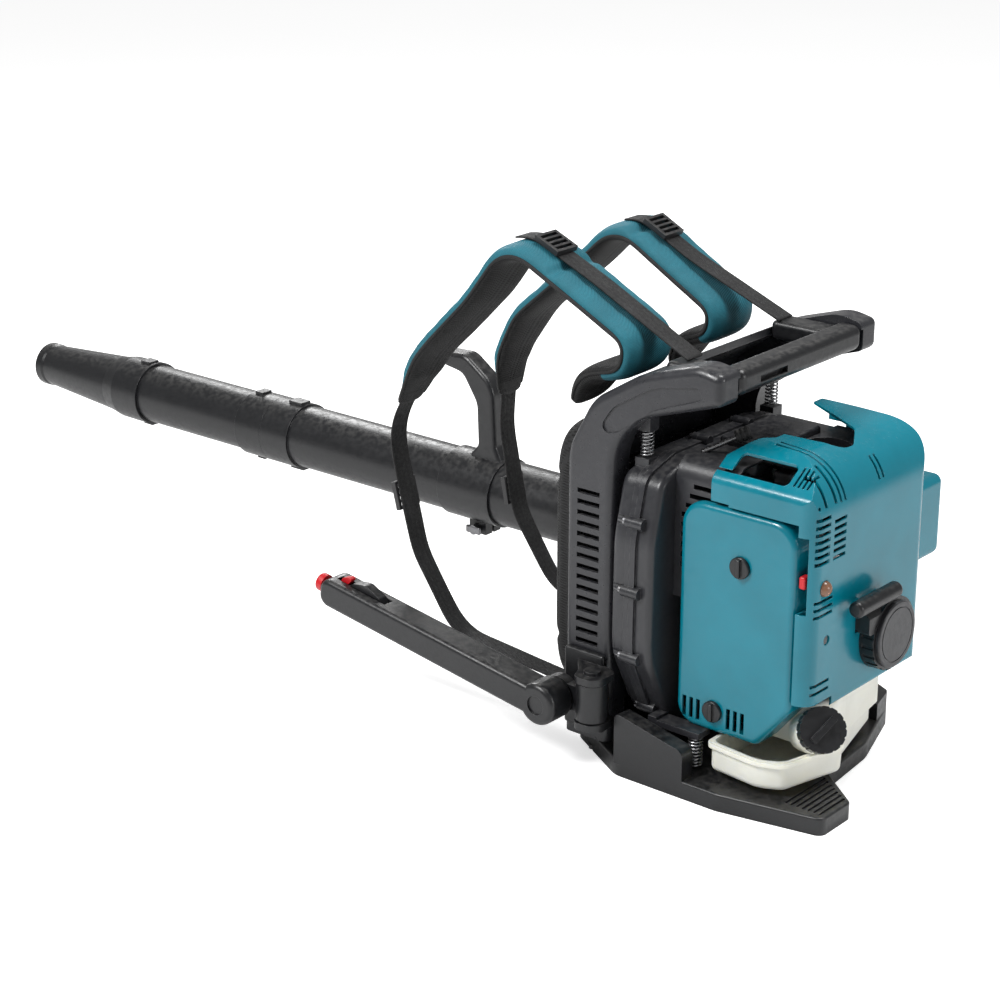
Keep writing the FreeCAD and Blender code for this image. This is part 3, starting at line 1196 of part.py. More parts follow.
def cover_form(inset):
    """The engine cover's outside, or its hollow when inset: its side, rear and top views together."""
    left = COVER_WRAP + inset
    right = COVER_RIGHT - inset
    back = COVER_BACK + inset
    low = COVER_LOW - (inset * 2 if inset else 0)
    top = COVER_TOP - inset
    lip = COVER_LIP_Y + inset * 2
    side = plate_x([(lip, low), (back, low), (back, top - 8), (lip, top)], left, right, [0, 6, 58 - inset, 0])
    rear = plate_y([(left, low), (left, COVER_EAVE_Z - inset), (COVER_CREST_X, top), (right, top), (right, low)],
                   back, lip, [0, 12, 40, 22 - inset, 0])
    plan = plate_z([(left, lip), (left, back), (right, back), (right, lip)], low, top, [0, 17 - inset, 17 - inset, 0])
    return side.common(rear).common(plan)


def engine_cover():
    """The moulded cover over the engine's rear, which wraps round the cleaner cover."""
    outer = cover_form(0.0)
    edge = CLEANER_BACK - 1.6
    roof = CLEANER_TOP + 2.4
    bay = box(COVER_WRAP - 1, COVER_LEFT, edge, COVER_LIP_Y + 1, COVER_LOW - 1, roof)
    wall = box(COVER_WRAP - 1, COVER_LEFT + WALL, edge - WALL, COVER_LIP_Y + 1, COVER_LOW - 1, roof + WALL)
    body = outer.cut(cover_form(WALL).cut(wall)).cut(bay)
    body = body.cut(box(SHROUD_LEFT - FIT, COVER_RIGHT + 1, SHROUD_BACK - FIT, COVER_LIP_Y + 1, 0, SHROUD_TOP + FIT))
    body = body.cut(box(COVER_WRAP - 1, COVER_RIGHT + 1, SHROUD_BACK - FIT, COVER_LIP_Y + 1, 0, roof + WALL + 0.01))
    # Front edge of the roof and the wide notch over the engine
    body = body.cut(plate_z([(-64.0, COVER_LIP_Y + 1), (-50.0, -88.0), (-42.0, -116.0), (-20.0, -118.0), (14.0, -98.0),
                             (52.0, COVER_LIP_Y + 1)], SHROUD_TOP - 6, COVER_TOP + 1, [0, 22, 18, 16, 26, 0]))
    body = body.cut(plate_z([(-112.0, COVER_LIP_Y + 1), (-72.0, -56.0), (-40.0, -56.0), (-40.0, COVER_LIP_Y + 1)],
                            SHROUD_TOP - 6, COVER_TOP + 1, [0, 12, 0, 0]))
    # Openings for the starter, the silencer's port, the carburettor's horn, the choke and the primer
    body = body.cut(rod(0, COVER_BACK - 1, CRANK_Z, Y_AXIS, DRUM_R + FIT, 10))
    body = body.cut(box(ROPE_EXIT[0] - 8 - FIT, ROPE_EXIT[0] + GUIDE_W + FIT, COVER_BACK - 1, COVER_BACK + 5,
                        CRANK_Z + 12 - FIT, ROPE_EXIT[2] + 5 + FIT))
    body = body.cut(rod(COVER_LEFT - 1, CARB_Y, CARB_Z, X_AXIS, 15.0, 8))
    body = body.cut(box(COVER_WRAP - 1, COVER_LEFT + 6, COVER_BACK + 8, edge + 1, CARB_Z - CHOKE_SWEEP, CARB_Z + 50))
    body = body.cut(rod(PRIMER_X, COVER_BACK - 1, PRIMER_Z, Y_AXIS, PRIMER_R + FIT, 8))
    body = body.cut(box(COVER_RIGHT - 5, COVER_RIGHT + 1, -58.0, SHROUD_BACK + 1, MUFFLER_PORT_Z - 14,
                        MUFFLER_PORT_Z + 14))
    body = body.cut(box(COVER_WRAP - 1, CAP_CENTRE[0] + 22, COVER_BACK - 1, edge + 1, 0, CAP_CENTRE[2] + 31))
    for cutter in cover_vents():
        body = body.cut(cutter)
    return body


def cover_vents():
    """The slots, holes and the hand window of the engine cover."""
    outside = COVER_BACK - 2
    cutters = []
    for column, x in enumerate((-131.0, -101.0)):
        for i in range(7 - column):
            z = 281.0 + i * 8.0
            cutters.append(box(x, x + 23.0, outside, COVER_BACK + 12, z, z + 4.0))
    for x in (-117.0, -99.0):
        cutters.append(box(x, x + 4.5, outside, COVER_BACK + 30, 341.0, 380.0))
    for z in (239.0, 231.0, 223.0, 146.0, 137.0):
        cutters.append(box(-130.0, -98.0, outside, COVER_BACK + 12, z, z + 3.4))
    cutters.append(rod(-127.0, outside, 343.0, Y_AXIS, 2.4, 14))
    cutters.append(rod(-106.0, outside, 194.0, Y_AXIS, 5.5, 14))
    for x in (-89.0, -81.0):
        cutters.append(box(x, x + 3.5, COVER_BACK - 2, -66.0, 340.0, COVER_TOP + 1))
    for x in (-14.0, -6.0):
        cutters.append(box(x, x + 3.5, COVER_BACK - 2, -132.0, 344.0, COVER_TOP + 1))
    cutters.append(block(COVER_WRAP + 10, -104.0, -108.0, -38.0, 336.0, COVER_TOP, 6.0))
    for i in range(4):
        y = -132.0 + i * 5.4
        cutters.append(box(COVER_WRAP + 12, -104.0, y, y + 2.6, 334.0, COVER_TOP))
    return cutters


def muffler():
    body = block(MUFFLER_LEFT, 142.0, -112.0, -18.0, 226.0, 290.0, 9.0)
    body = body.cut(block(MUFFLER_LEFT + 2, 140.0, -110.0, -20.0, 228.0, 288.0, 7.0))
    for y in (-80.0, -50.0):
        body = body.fuse(box(MUFFLER_LEFT + 1, 141.0, y, y + 1.6, 227.0, 276.0))
    port = rod(126.0, -66.0, 228.0, V(0, 0, -1), 6.0, 14.0)
    body = body.fuse(port)
    body = body.cut(rod(MUFFLER_LEFT - 1, MUFFLER_PORT_Y, MUFFLER_PORT_Z, X_AXIS, 7.5, 20))
    return body.cut(rod(126.0, -66.0, 236.0, V(0, 0, -1), 4.5, 30.0))


def muffler_guard():
    """The cover that keeps hands off the silencer, open at the front and slotted underneath."""
    outer = block(COVER_RIGHT - 12, 152.0, -132.0, -8.0, 210.0, 304.0, 10.0)
    outer = outer.common(box(COVER_RIGHT + 0.02, 160.0, -140.0, 0.0, 200.0, 310.0))
    inner = block(COVER_RIGHT - 20, 152.0 - WALL, -132.0 + WALL, -8.0 - WALL, 210.0 + WALL, 304.0 - WALL, 8.0)
    body = outer.cut(inner)
    for i in range(6):
        y = -118.0 + i * 16
        body = body.cut(box(104.0, 138.0, y, y + 7, 208.0, 216.0))
        body = body.cut(box(148.0, 154.0, y, y + 7, 232.0, 282.0))
    return body


def carburettor():
    body = block(-95.0, -58.3, CARB_Y - 18, CARB_Y + 18, CARB_Z - 18, CARB_Z + 18, 4.0)
    bowl = block(-90.0, -64.0, CARB_Y - 14, CARB_Y + 14, CARB_Z - 32, CARB_Z - 14, 3.0)
    horn = rod(COVER_LEFT - 5.6, CARB_Y, CARB_Z, X_AXIS, 12.0, 14)
    post = rod(CHOKE_X, CARB_Y - 16, CARB_Z, V(0, -1, 0), 3.0, CARB_Y - 16 - CHOKE_Y)
    body = fuse([body, bowl, horn, post])
    body = body.cut(rod(-107.0, CARB_Y, CARB_Z, X_AXIS, 8.0, 60))
    return body.cut(rod(BUTTERFLY_X, CARB_Y, CARB_Z - 20, Z_AXIS, 2.5 + RUN, 60))


def throttle_butterfly():
    """The throttle disc on its spindle, with the cable's cam on top."""
    spindle = rod(BUTTERFLY_X, CARB_Y, CARB_Z - 17, Z_AXIS, 2.5, 41)
    disc = rod(BUTTERFLY_X - 0.8, CARB_Y, CARB_Z, X_AXIS, 7.7, 1.6)
    cam = rod(BUTTERFLY_X, CARB_Y, CARB_Z + 18.4, Z_AXIS, 9.0, 4.0)
    arm = box(BUTTERFLY_X - 3, BUTTERFLY_X + 3, CARB_Y - 16, CARB_Y, CARB_Z + 18.4, CARB_Z + 22.4)
    return fuse([spindle, disc, cam, arm])


def choke_lever():
    """The red lever behind the cleaner cover, on a post of the carburettor."""
    hub = rod(CHOKE_X, CHOKE_Y, CARB_Z, Y_AXIS, 6.0, CHOKE_T)
    blade = box(CHOKE_X - CHOKE_LEN, CHOKE_X, CHOKE_Y + 2, CHOKE_Y + 6, CARB_Z - 3.5, CARB_Z + 3.5)
    tip = block(CHOKE_X - CHOKE_LEN - 4, CHOKE_X - CHOKE_LEN + 8, CHOKE_Y, CHOKE_Y + 8, CARB_Z - 7, CARB_Z + 7, 2.5)
    return fuse([hub, blade, tip]).cut(rod(CHOKE_X, CHOKE_Y - 1, CARB_Z, Y_AXIS, 3.0 + RUN, CHOKE_T + 2))


def cleaner_base():
    """The plate behind the filter, screwed to the engine cover's side."""
    thick = 5.6
    x0 = COVER_LEFT - thick - 0.02
    edge = 5.5
    plate = plate_x([(CLEANER_BACK + edge, CLEANER_CUT_Z + edge), (CLEANER_CUT_Y + edge, CLEANER_LOW + edge),
                     (CLEANER_EAR_Y - edge, CLEANER_LOW + edge), (CLEANER_EAR_Y - edge, 112.0),
                     (CLEANER_STEP_Y - edge, 118.0), (CLEANER_STEP_Y - edge, CLEANER_TOP - 8),
                     (CLEANER_BACK + edge, CLEANER_TOP - 8)], x0, x0 + thick, [10, 8, 6, 6, 6, 14, 14])
    plate = plate.cut(rod(x0 - 1, CARB_Y, CARB_Z, X_AXIS, 12.0 + FIT, 10))
    for y, z in (UPPER_KNOB, LOWER_KNOB):
        boss = rod(x0, y, z, V(-1, 0, 0), 8.0, 14.0)
        plate = plate.fuse(boss)
    for y, z in (UPPER_KNOB, LOWER_KNOB):
        plate = plate.cut(rod(x0 - 20, y, z, X_AXIS, 3.0 + RUN, 40))
    return plate.removeSplitter()


def air_filter():
    x1 = COVER_LEFT - 5.6 - 0.02 - FIT
    low = CLEANER_CUT_Z + 10
    body = plate_x([(CLEANER_BACK + 10, low), (CLEANER_STEP_Y - 10, low), (CLEANER_STEP_Y - 10, 236.0), (-86.0, 250.0),
                    (-86.0, 306.0), (CLEANER_BACK + 10, 306.0)], x1 - 17, x1, [8, 8, 8, 8, 8, 8])
    for i in range(10):
        z = low + 10.0 + i * 17.0
        body = body.cut(box(x1 - 18, x1 - 13, CLEANER_BACK + 14, -92.0, z, z + 4))
    return body


def cleaner_shape(inset):
    """The cleaner cover's outside, or its hollow when inset by the wall."""
    back = CLEANER_BACK + inset
    front = CLEANER_FRONT - inset
    low = CLEANER_LOW + inset
    top = CLEANER_TOP - inset
    out = CLEANER_OUT + inset
    soft = 30.0 - inset
    step = CLEANER_STEP_Y - inset
    ear = CLEANER_EAR_Y - inset
    step_z = CLEANER_STEP_Z - inset
    inner_x = COVER_LEFT - FIT if inset == 0 else COVER_LEFT + 5
    skirt_x = SKIRT_X if inset == 0 else SKIRT_X + 3
    cut_y = CLEANER_CUT_Y + inset * 0.3
    cut_z = CLEANER_CUT_Z + inset * 0.3
    face = plate_x([(back, cut_z), (cut_y, low), (front, low), (front, top), (back, top)], out, skirt_x,
                   [14, 12, 24, soft, soft])
    deep = plate_x([(back, cut_z), (cut_y, low), (ear, low), (ear, step_z), (step, step_z), (step, top), (back, top)],
                   out + 0.5, inner_x, [14, 12, 8, 6, 2, 6, soft])
    return face, deep


def cleaner_cover():
    face, deep = cleaner_shape(0.0)
    rim = [e for e in face.Edges if abs(e.BoundBox.XMin - CLEANER_OUT) < 0.01 and e.BoundBox.XLength < 0.01]
    face = face.makeFillet(7.0, rim)
    body = face.fuse(deep.common(box(CLEANER_OUT + 7.5, 0, -300, 300, 0, 500)))
    hollow_face, hollow_deep = cleaner_shape(WALL)
    body = body.cut(hollow_face)
    body = body.cut(hollow_deep)
    for y, z in (UPPER_KNOB, LOWER_KNOB):
        body = body.cut(rod(CLEANER_OUT - 1, y, z, X_AXIS, 4.0 + RUN, 10))
    # Air inlet slots, in front of and behind the lower knob
    for i in range(3):
        for y in (CLEANER_FRONT - 14 - i * 9, LOWER_KNOB[0] - 22 - i * 9):
            body = body.cut(box(CLEANER_OUT - 1, CLEANER_OUT + 4, y, y + 5, 74.0, 98.0))
    return body


def cover_knob(place):
    """A slotted hand screw with its shank, which stays in the cover."""
    y, z = place
    head = rod(CLEANER_OUT - 4.3, y, z, X_AXIS, KNOB_R, 4.0)
    head = head.makeFillet(1.5, [e for e in head.Edges if e.BoundBox.XMax < CLEANER_OUT - 4])
    grip = block(CLEANER_OUT - 7.5, CLEANER_OUT - 3, y - 2.6, y + 2.6, z - KNOB_R + 2, z + KNOB_R - 2, 1.2)
    shank = rod(CLEANER_OUT - 2, y, z, X_AXIS, 4.0, 13.0)
    thread = rod(CLEANER_OUT + 10, y, z, X_AXIS, 3.0, 22.0)
    return fuse([head, grip, shank, thread])


def starter_case():
    """The drum on the cover's rear, with the pulley's post and the rope's guide."""
    body = rod(0, DRUM_BACK, CRANK_Z, Y_AXIS, DRUM_R, COVER_BACK + WALL + 2.6 - DRUM_BACK)
    flange = rod(0, COVER_BACK + WALL + 0.3, CRANK_Z, Y_AXIS, DRUM_R + 8, 2.3)
    guide = box(ROPE_EXIT[0] - 8, ROPE_EXIT[0] + GUIDE_W, COVER_BACK - 17, COVER_BACK + WALL + 2.6, CRANK_Z + 12,
                ROPE_EXIT[2] + 5)
    guide = guide.makeFillet(4.0, [e for e in guide.Edges if e.BoundBox.YLength > 10 and e.BoundBox.XMax < ROPE_EXIT[0]])
    beyond = Part.makeBox(120, 120, 60, V(-60, -60, 0))
    beyond.Placement = FreeCAD.Placement(V(*ROPE_EXIT), FreeCAD.Rotation(Z_AXIS, PULL_DIR))
    guide = guide.cut(beyond)
    body = fuse([body, flange, guide])
    body = body.cut(rod(0, DRUM_BACK + 3, CRANK_Z, Y_AXIS, DRUM_R - 3, 60))
    post = rod(0, DRUM_BACK + 2, CRANK_Z, Y_AXIS, 6.0, 20.0)
    body = body.fuse(post)
    body = body.cut(rope_run(ROPE_R + 0.8, 4.0))
    for i in range(12):
        notch = box(DRUM_R - 1.2, DRUM_R + 1, DRUM_BACK - 1, COVER_BACK - 3, -2.2, 2.2)
        notch.rotate(V(0, 0, 0), Y_AXIS, 20 + i * 17)
        notch.translate(V(0, 0, CRANK_Z))
        body = body.cut(notch)
    return body.removeSplitter()


def starter_disc():
    disc = rod(0, DRUM_BACK - DISC_T, CRANK_Z, Y_AXIS, DISC_R, DISC_T - 0.02)
    edge = [e for e in disc.Edges if abs(e.BoundBox.YMax - (DRUM_BACK - DISC_T)) < 0.01]
    disc = disc.makeFillet(2.0, edge)
    return disc.cut(ring(0, DRUM_BACK - DISC_T - 1, CRANK_Z, Y_AXIS, DISC_R - 6, DISC_R - 7.5, 2))


def recoil_spring():
    """The flat spiral spring in the bottom of the drum, of half turns about two centres."""
    half = RECOIL_STRIP / 2
    y = DRUM_BACK + 3.02
    edges = []
    for offset, order in ((half, range(2 * RECOIL_TURNS)), (-half, range(2 * RECOIL_TURNS - 1, -1, -1))):
        side = []
        for i in order:
            sign = 1 if i % 2 == 0 else -1
            centre = 0.0 if i % 2 == 0 else RECOIL_PITCH / 2
            r = RECOIL_R + RECOIL_PITCH / 2 * i + offset
            ends = [V(centre + sign * r, y, CRANK_Z), V(centre - sign * r, y, CRANK_Z)]
            if offset < 0:
                ends.reverse()
            side.append(Part.Arc(ends[0], V(centre, y, CRANK_Z + sign * r), ends[1]).toShape())
        if edges:
            edges.append(Part.LineSegment(edges[-1].Vertexes[-1].Point, side[0].Vertexes[0].Point).toShape())
        edges += side
    edges.append(Part.LineSegment(edges[-1].Vertexes[-1].Point, edges[0].Vertexes[0].Point).toShape())
    print("recoil spring gap", round(RECOIL_PITCH - RECOIL_STRIP, 2))
    return Part.Face(Part.Wire(edges)).extrude(V(0, 4.5, 0))


def starter_pulley():
    y = DRUM_BACK + 8.5
    body = rod(0, y, CRANK_Z, Y_AXIS, PULLEY_R, 10.0)
    body = body.cut(ring(0, y + 3, CRANK_Z, Y_AXIS, PULLEY_R + 1, PULLEY_R - 7, 4.0))
    hub = rod(0, y, CRANK_Z, Y_AXIS, 10.0, 13.0)
    body = body.fuse(hub)
    return body.cut(rod(0, y - 1, CRANK_Z, Y_AXIS, 6.0 + RUN, 30)).removeSplitter()


def rope_points():
    """The rope's way: its tangent on the pulley, the point where it leans out, and the guide's mouth."""
    wound = PULLEY_R - 4.45
    mouth = V(*ROPE_EXIT)
    across = math.hypot(mouth.x, mouth.z - CRANK_Z)
    angle = math.atan2(mouth.z - CRANK_Z, mouth.x) + math.acos(wound / across)
    leave = V(wound * math.cos(angle), DRUM_BACK + 13.5, CRANK_Z + wound * math.sin(angle))
    lean = leave + (mouth - leave) * 0.7
    return leave, V(lean.x, leave.y, lean.z), mouth


def rope_run(radius, beyond):
    """The rope's straight stretches as rods, run past the mouth by a given length."""
    leave, lean, mouth = rope_points()
    out = V(mouth - lean).normalize()
    first = Part.makeCylinder(radius, (lean - leave).Length, leave, lean - leave)
    second = Part.makeCylinder(radius, (mouth - lean).Length + beyond, lean, out)
    return first.fuse([second, Part.makeSphere(radius, lean)])


def starter_rope():
    """The rope's turns on the pulley and its stretch up to the grip."""
    y = DRUM_BACK + 13.5
    wound = ring(0, y - ROPE_R + 0.1, CRANK_Z, Y_AXIS, PULLEY_R - 2.0, PULLEY_R - 6.9, 2 * ROPE_R - 0.2)
    return fuse([wound, rope_run(ROPE_R - 0.2, -ROPE_R)])


def starter_grip():
    """The T-shaped pull grip, resting on the rope's guide."""
    start = V(*ROPE_EXIT)
    centre = start + PULL_DIR * GRIP_STANDOFF
    bar = Part.makeCylinder(GRIP_BAR_R, GRIP_BAR_L, centre - X_AXIS * (GRIP_BAR_L / 2), X_AXIS)
    ends = [e for e in bar.Edges if e.BoundBox.XLength < 0.01]
    bar = bar.makeFillet(4.0, ends)
    neck = Part.makeCylinder(5.5, GRIP_STANDOFF - FIT, start + PULL_DIR * FIT, PULL_DIR)
    return fuse([bar, neck])


def primer_bulb():
    body = Part.makeSphere(PRIMER_R, V(PRIMER_X, COVER_BACK + 1.0, PRIMER_Z))
    body = body.common(box(PRIMER_X - 20, PRIMER_X + 20, COVER_BACK - 20, COVER_BACK + 1.0, PRIMER_Z - 20, PRIMER_Z + 20))
    stem = rod(PRIMER_X, COVER_BACK + 0.9, PRIMER_Z, Y_AXIS, PRIMER_R - 0.5, 5.0)
    return body.fuse(stem).removeSplitter()


# Fuel

def tank_lower(inset=0.0):
    left = TANK_LEFT + inset
    right = TANK_RIGHT - inset
    front = -38.0 - inset
    return [(left + 2, front), (left - 5, -104.0), (left + 8, -130.0 + inset), (-66.0, -150.0 + inset),
            (-34.0, -132.0 + inset), (right, -104.0 + inset), (right, front)]


def fuel_tank():
    radii = [10, 40, 18, 12, 30, 20, 12]
    lower = plate_z(tank_lower(), TANK_LOW, TANK_STEP, radii)
    foot = [e for e in lower.Edges if abs(e.BoundBox.ZMax - TANK_LOW) < 0.01]
    lower = lower.makeFillet(7.0, foot)
    flange = plate_z(tank_lower(-3.0), TANK_STEP - 6.0, TANK_STEP - 1.0, radii)
    upper = plate_z([(-96.0, -38.0), (-96.0, -128.0), (-70.0, -144.0), (-34.0, -134.0), (TANK_RIGHT - 4, -118.0),
                     (TANK_RIGHT - 4, -38.0)], TANK_STEP - 2, TANK_TOP, [10, 12, 14, 30, 20, 12])
    crown = [e for e in upper.Edges if abs(e.BoundBox.ZMin - TANK_TOP) < 0.01]
    upper = upper.makeFillet(6.0, crown)
    centre = V(*CAP_CENTRE)
    neck = Part.makeCylinder(NECK_R + 4, 40.0, centre - CAP_DIR * 46.0, CAP_DIR)
    thread = Part.makeCylinder(NECK_R, 12.0, centre - CAP_DIR * 8.0, CAP_DIR)
    body = fuse([lower, flange, upper, neck, thread])
    body = body.cut(box(-300, 300, -300, 300, -50, TANK_LOW - 0.001))
    hollow = plate_z(tank_lower(TANK_WALL), TANK_LOW + TANK_WALL, TANK_STEP - 0.0, radii)
    rise = plate_z([(-93.0, -41.0), (-93.0, -126.0), (-70.0, -140.0), (-34.0, -130.0), (TANK_RIGHT - 7, -114.0),
                    (TANK_RIGHT - 7, -41.0)], TANK_STEP - 6, TANK_TOP - TANK_WALL, [8, 9, 11, 28, 18, 9])
    body = body.cut(hollow.fuse(rise))
    mouth = Part.makeCylinder(NECK_R - 4, 56.0, centre - CAP_DIR * 52.0 + CAP_DIR * 1, CAP_DIR)
    body = body.cut(rod(LINES_X, LINES_Y, TANK_TOP - 12, Z_AXIS, GROMMET_R, 20))
    return body.cut(mouth).removeSplitter()


def fuel_cap():
    """A fluted screw cap with its skirt over the neck's thread."""
    centre = V(*CAP_CENTRE)
    start = centre - CAP_DIR * (CAP_H - 11.0)
    body = Part.makeCylinder(CAP_R, CAP_H, start, CAP_DIR)
    body = body.cut(Part.makeCylinder(NECK_R + FIT, CAP_H - 4.0, start - CAP_DIR * 1.0, CAP_DIR))
    side = CAP_DIR.cross(Z_AXIS).normalize()
    for i in range(16):
        turn = FreeCAD.Rotation(CAP_DIR, i * 22.5)
        flute = Part.makeCylinder(1.6, CAP_H + 4, start - CAP_DIR * 2 + turn.multVec(side) * (CAP_R + 0.5), CAP_DIR)
        body = body.cut(flute)
    wing = Part.makeBox(34, 7, 6, V(-17, -3.5, 0))
    wing.Placement = FreeCAD.Placement(centre + CAP_DIR * 10.5, FreeCAD.Rotation(Z_AXIS, CAP_DIR))
    return body.fuse(wing).removeSplitter()


def fuel_lines():
    """Two hoses from the tank's grommet up and forward to the carburettor's bowl."""
    shapes = [rod(LINES_X, LINES_Y, TANK_TOP - 4.0, Z_AXIS, GROMMET_R - 0.02, 9.0)]
    bowl_back = CARB_Y - 14.0 - FIT
    for dx, z in ((-4.0, CARB_Z - 28.0), (4.0, CARB_Z - 22.0)):
        x = LINES_X + dx
        knee = V(x, LINES_Y + LINE_BEND, z - LINE_BEND)
        turn = V(0, -math.sqrt(0.5), math.sqrt(0.5)) * LINE_BEND
        low = V(x, LINES_Y, TANK_TOP - 10.0)
        bent = V(x, LINES_Y, z - LINE_BEND)
        level = V(x, LINES_Y + LINE_BEND, z)
        end = V(x, bowl_back, z)
        path = Part.Wire([Part.LineSegment(low, bent).toShape(), Part.Arc(bent, knee + turn, level).toShape(),
                          Part.LineSegment(level, end).toShape()])
        section = Part.Wire(Part.Circle(low, Z_AXIS, 2.5).toShape())
        shapes.append(path.makePipeShell([section], True, False))
    return fuse(shapes)


def engine_screws():
    made = []
    seat = FAN_SPLIT + 0.02 + EAR_T
    for x, z in fan_screw_places():
        head = rod(x, seat, z, Y_AXIS, 4.6, 4.0)
        socket = rod(x, seat + 2.0, z, Y_AXIS, 2.4, 4.0)
        shank = rod(x, FAN_SPLIT - 11.0, z, Y_AXIS, EAR_SCREW_R - 0.02, seat - FAN_SPLIT + 12.0)
        made.append(head.cut(socket).fuse(shank).removeSplitter())
    return Part.makeCompound(made)


def write(name, shape):
    bad = [s for s in shape.Solids if not s.isValid()]
    print(name, len(shape.Solids), "solids", round(shape.Volume / 1000.0, 1), "cm3", "INVALID" if bad else "")
    shape.exportStep(os.path.join("parts", name + ".step"))


def main():
    os.makedirs("parts", exist_ok=True)
    arm = control_arm().cut(pin_bores())
    pieces = {
        "base_plate": base_plate(),
        "back_frame": back_frame(),
        "carry_handle": carry_handle(),
        "back_pad": back_pad(),
        "left_shoulder_pad": shoulder_pad(LEFT_STRAP, LEFT_BEND, LEFT_STRAP_X),
        "right_shoulder_pad": shoulder_pad(RIGHT_STRAP, RIGHT_BEND, RIGHT_STRAP_X),
        "strap_webbing": strap_webbing(),
        "strap_buckles": strap_buckles(),
        "lower_springs": lower_springs(),
        "upper_springs": upper_springs(),
        "frame_screws": frame_screws(),
        "arm_bracket": arm_bracket(),
        "arm_knuckle": arm_knuckle(),
        "control_arm": arm,
        "throttle_lever": throttle_lever(),
        "cruise_lever": cruise_lever(),
        "stop_switch": stop_switch(),
        "fan_case_rear": fan_case_rear(),
        "fan_case_front": fan_case_front(),
        "outlet_elbow": outlet_elbow(),
        "flexible_pipe": flexible_pipe(),
        "swivel_pipe": swivel_pipe(),
        "pipe_handle": pipe_handle(),
        "clamp_screw": clamp_screw(),
        "middle_pipe": middle_pipe(),
        "nozzle": nozzle(),
        "crankcase": crankcase(),
        "crank_bearings": crank_bearings(),
        "crankshaft": crankshaft(),
        "flywheel": flywheel(),
        "impeller": impeller(),
        "connecting_rod": connecting_rod(),
        "piston": piston(),
        "cylinder": cylinder(),
        "rocker_cover": rocker_cover(),
        "spark_plug": spark_plug(),
        "plug_cap": plug_cap(),
        "engine_shroud": engine_shroud(),
        "engine_cover": engine_cover(),
        "muffler": muffler(),
        "muffler_guard": muffler_guard(),
        "carburettor": carburettor(),
        "throttle_butterfly": throttle_butterfly(),
        "choke_lever": choke_lever(),
        "cleaner_base": cleaner_base(),
        "air_filter": air_filter(),
        "cleaner_cover": cleaner_cover(),
        "upper_cover_knob": cover_knob(UPPER_KNOB),
        "lower_cover_knob": cover_knob(LOWER_KNOB),
        "starter_case": starter_case(),
        "starter_disc": starter_disc(),
        "recoil_spring": recoil_spring(),
        "starter_pulley": starter_pulley(),
        "starter_rope": starter_rope(),
        "starter_grip": starter_grip(),
        "primer_bulb": primer_bulb(),
        "fuel_tank": fuel_tank(),
        "fuel_cap": fuel_cap(),
        "fuel_lines": fuel_lines(),
        "engine_screws": engine_screws(),
    }
    for name, shape in pieces.items():
        write(name, shape)


main()
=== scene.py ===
"""Looks for a backpack leaf blower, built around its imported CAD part.

CAD nodes keep their shapes and get procedural finishes. Cushions, straps, webbing, springs and the
ribbed hose are surfaces made here, each a function of two parameters on a grid.
"""

import json
import logging
import math
from dataclasses import dataclass
from enum import Enum

import bpy
import numpy as np
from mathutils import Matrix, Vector

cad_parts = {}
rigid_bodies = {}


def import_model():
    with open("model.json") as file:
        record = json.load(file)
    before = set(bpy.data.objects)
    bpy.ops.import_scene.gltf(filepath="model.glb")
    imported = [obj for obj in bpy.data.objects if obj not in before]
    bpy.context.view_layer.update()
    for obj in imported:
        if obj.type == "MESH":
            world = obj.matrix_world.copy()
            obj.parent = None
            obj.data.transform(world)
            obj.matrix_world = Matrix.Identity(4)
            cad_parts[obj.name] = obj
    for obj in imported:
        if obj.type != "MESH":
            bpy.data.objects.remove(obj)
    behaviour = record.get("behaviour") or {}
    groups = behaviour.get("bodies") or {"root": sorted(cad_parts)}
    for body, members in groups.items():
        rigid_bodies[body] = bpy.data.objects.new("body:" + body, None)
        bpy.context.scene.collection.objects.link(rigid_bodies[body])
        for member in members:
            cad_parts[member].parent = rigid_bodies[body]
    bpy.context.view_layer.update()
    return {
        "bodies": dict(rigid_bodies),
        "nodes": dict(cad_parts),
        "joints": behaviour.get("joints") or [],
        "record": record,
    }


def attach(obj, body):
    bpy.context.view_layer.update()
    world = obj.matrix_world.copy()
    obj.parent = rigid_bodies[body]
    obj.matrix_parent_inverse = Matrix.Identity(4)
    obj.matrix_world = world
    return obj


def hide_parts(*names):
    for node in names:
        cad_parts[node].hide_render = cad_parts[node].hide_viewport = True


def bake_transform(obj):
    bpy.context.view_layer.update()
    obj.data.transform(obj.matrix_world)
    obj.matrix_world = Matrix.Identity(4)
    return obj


MM = 0.001
WHITE = (1.0, 1.0, 1.0, 1.0)
SURFACE = {"Colour": "Color", "Roughness": "Float", "Normal": "Vector"}
Colour = tuple[float, float, float]
log = logging.getLogger("blower")


class Group(Enum):
    """The shared node groups that finishes are made of."""

    EDGE = "edge_round"
    MOTTLE = "mottle"
    MOULDED = "moulded_surface"
    METAL = "worked_metal"
    WEAVE = "plain_weave"
    WEBBING = "webbing_weave"
    SPACER = "spacer_mesh"


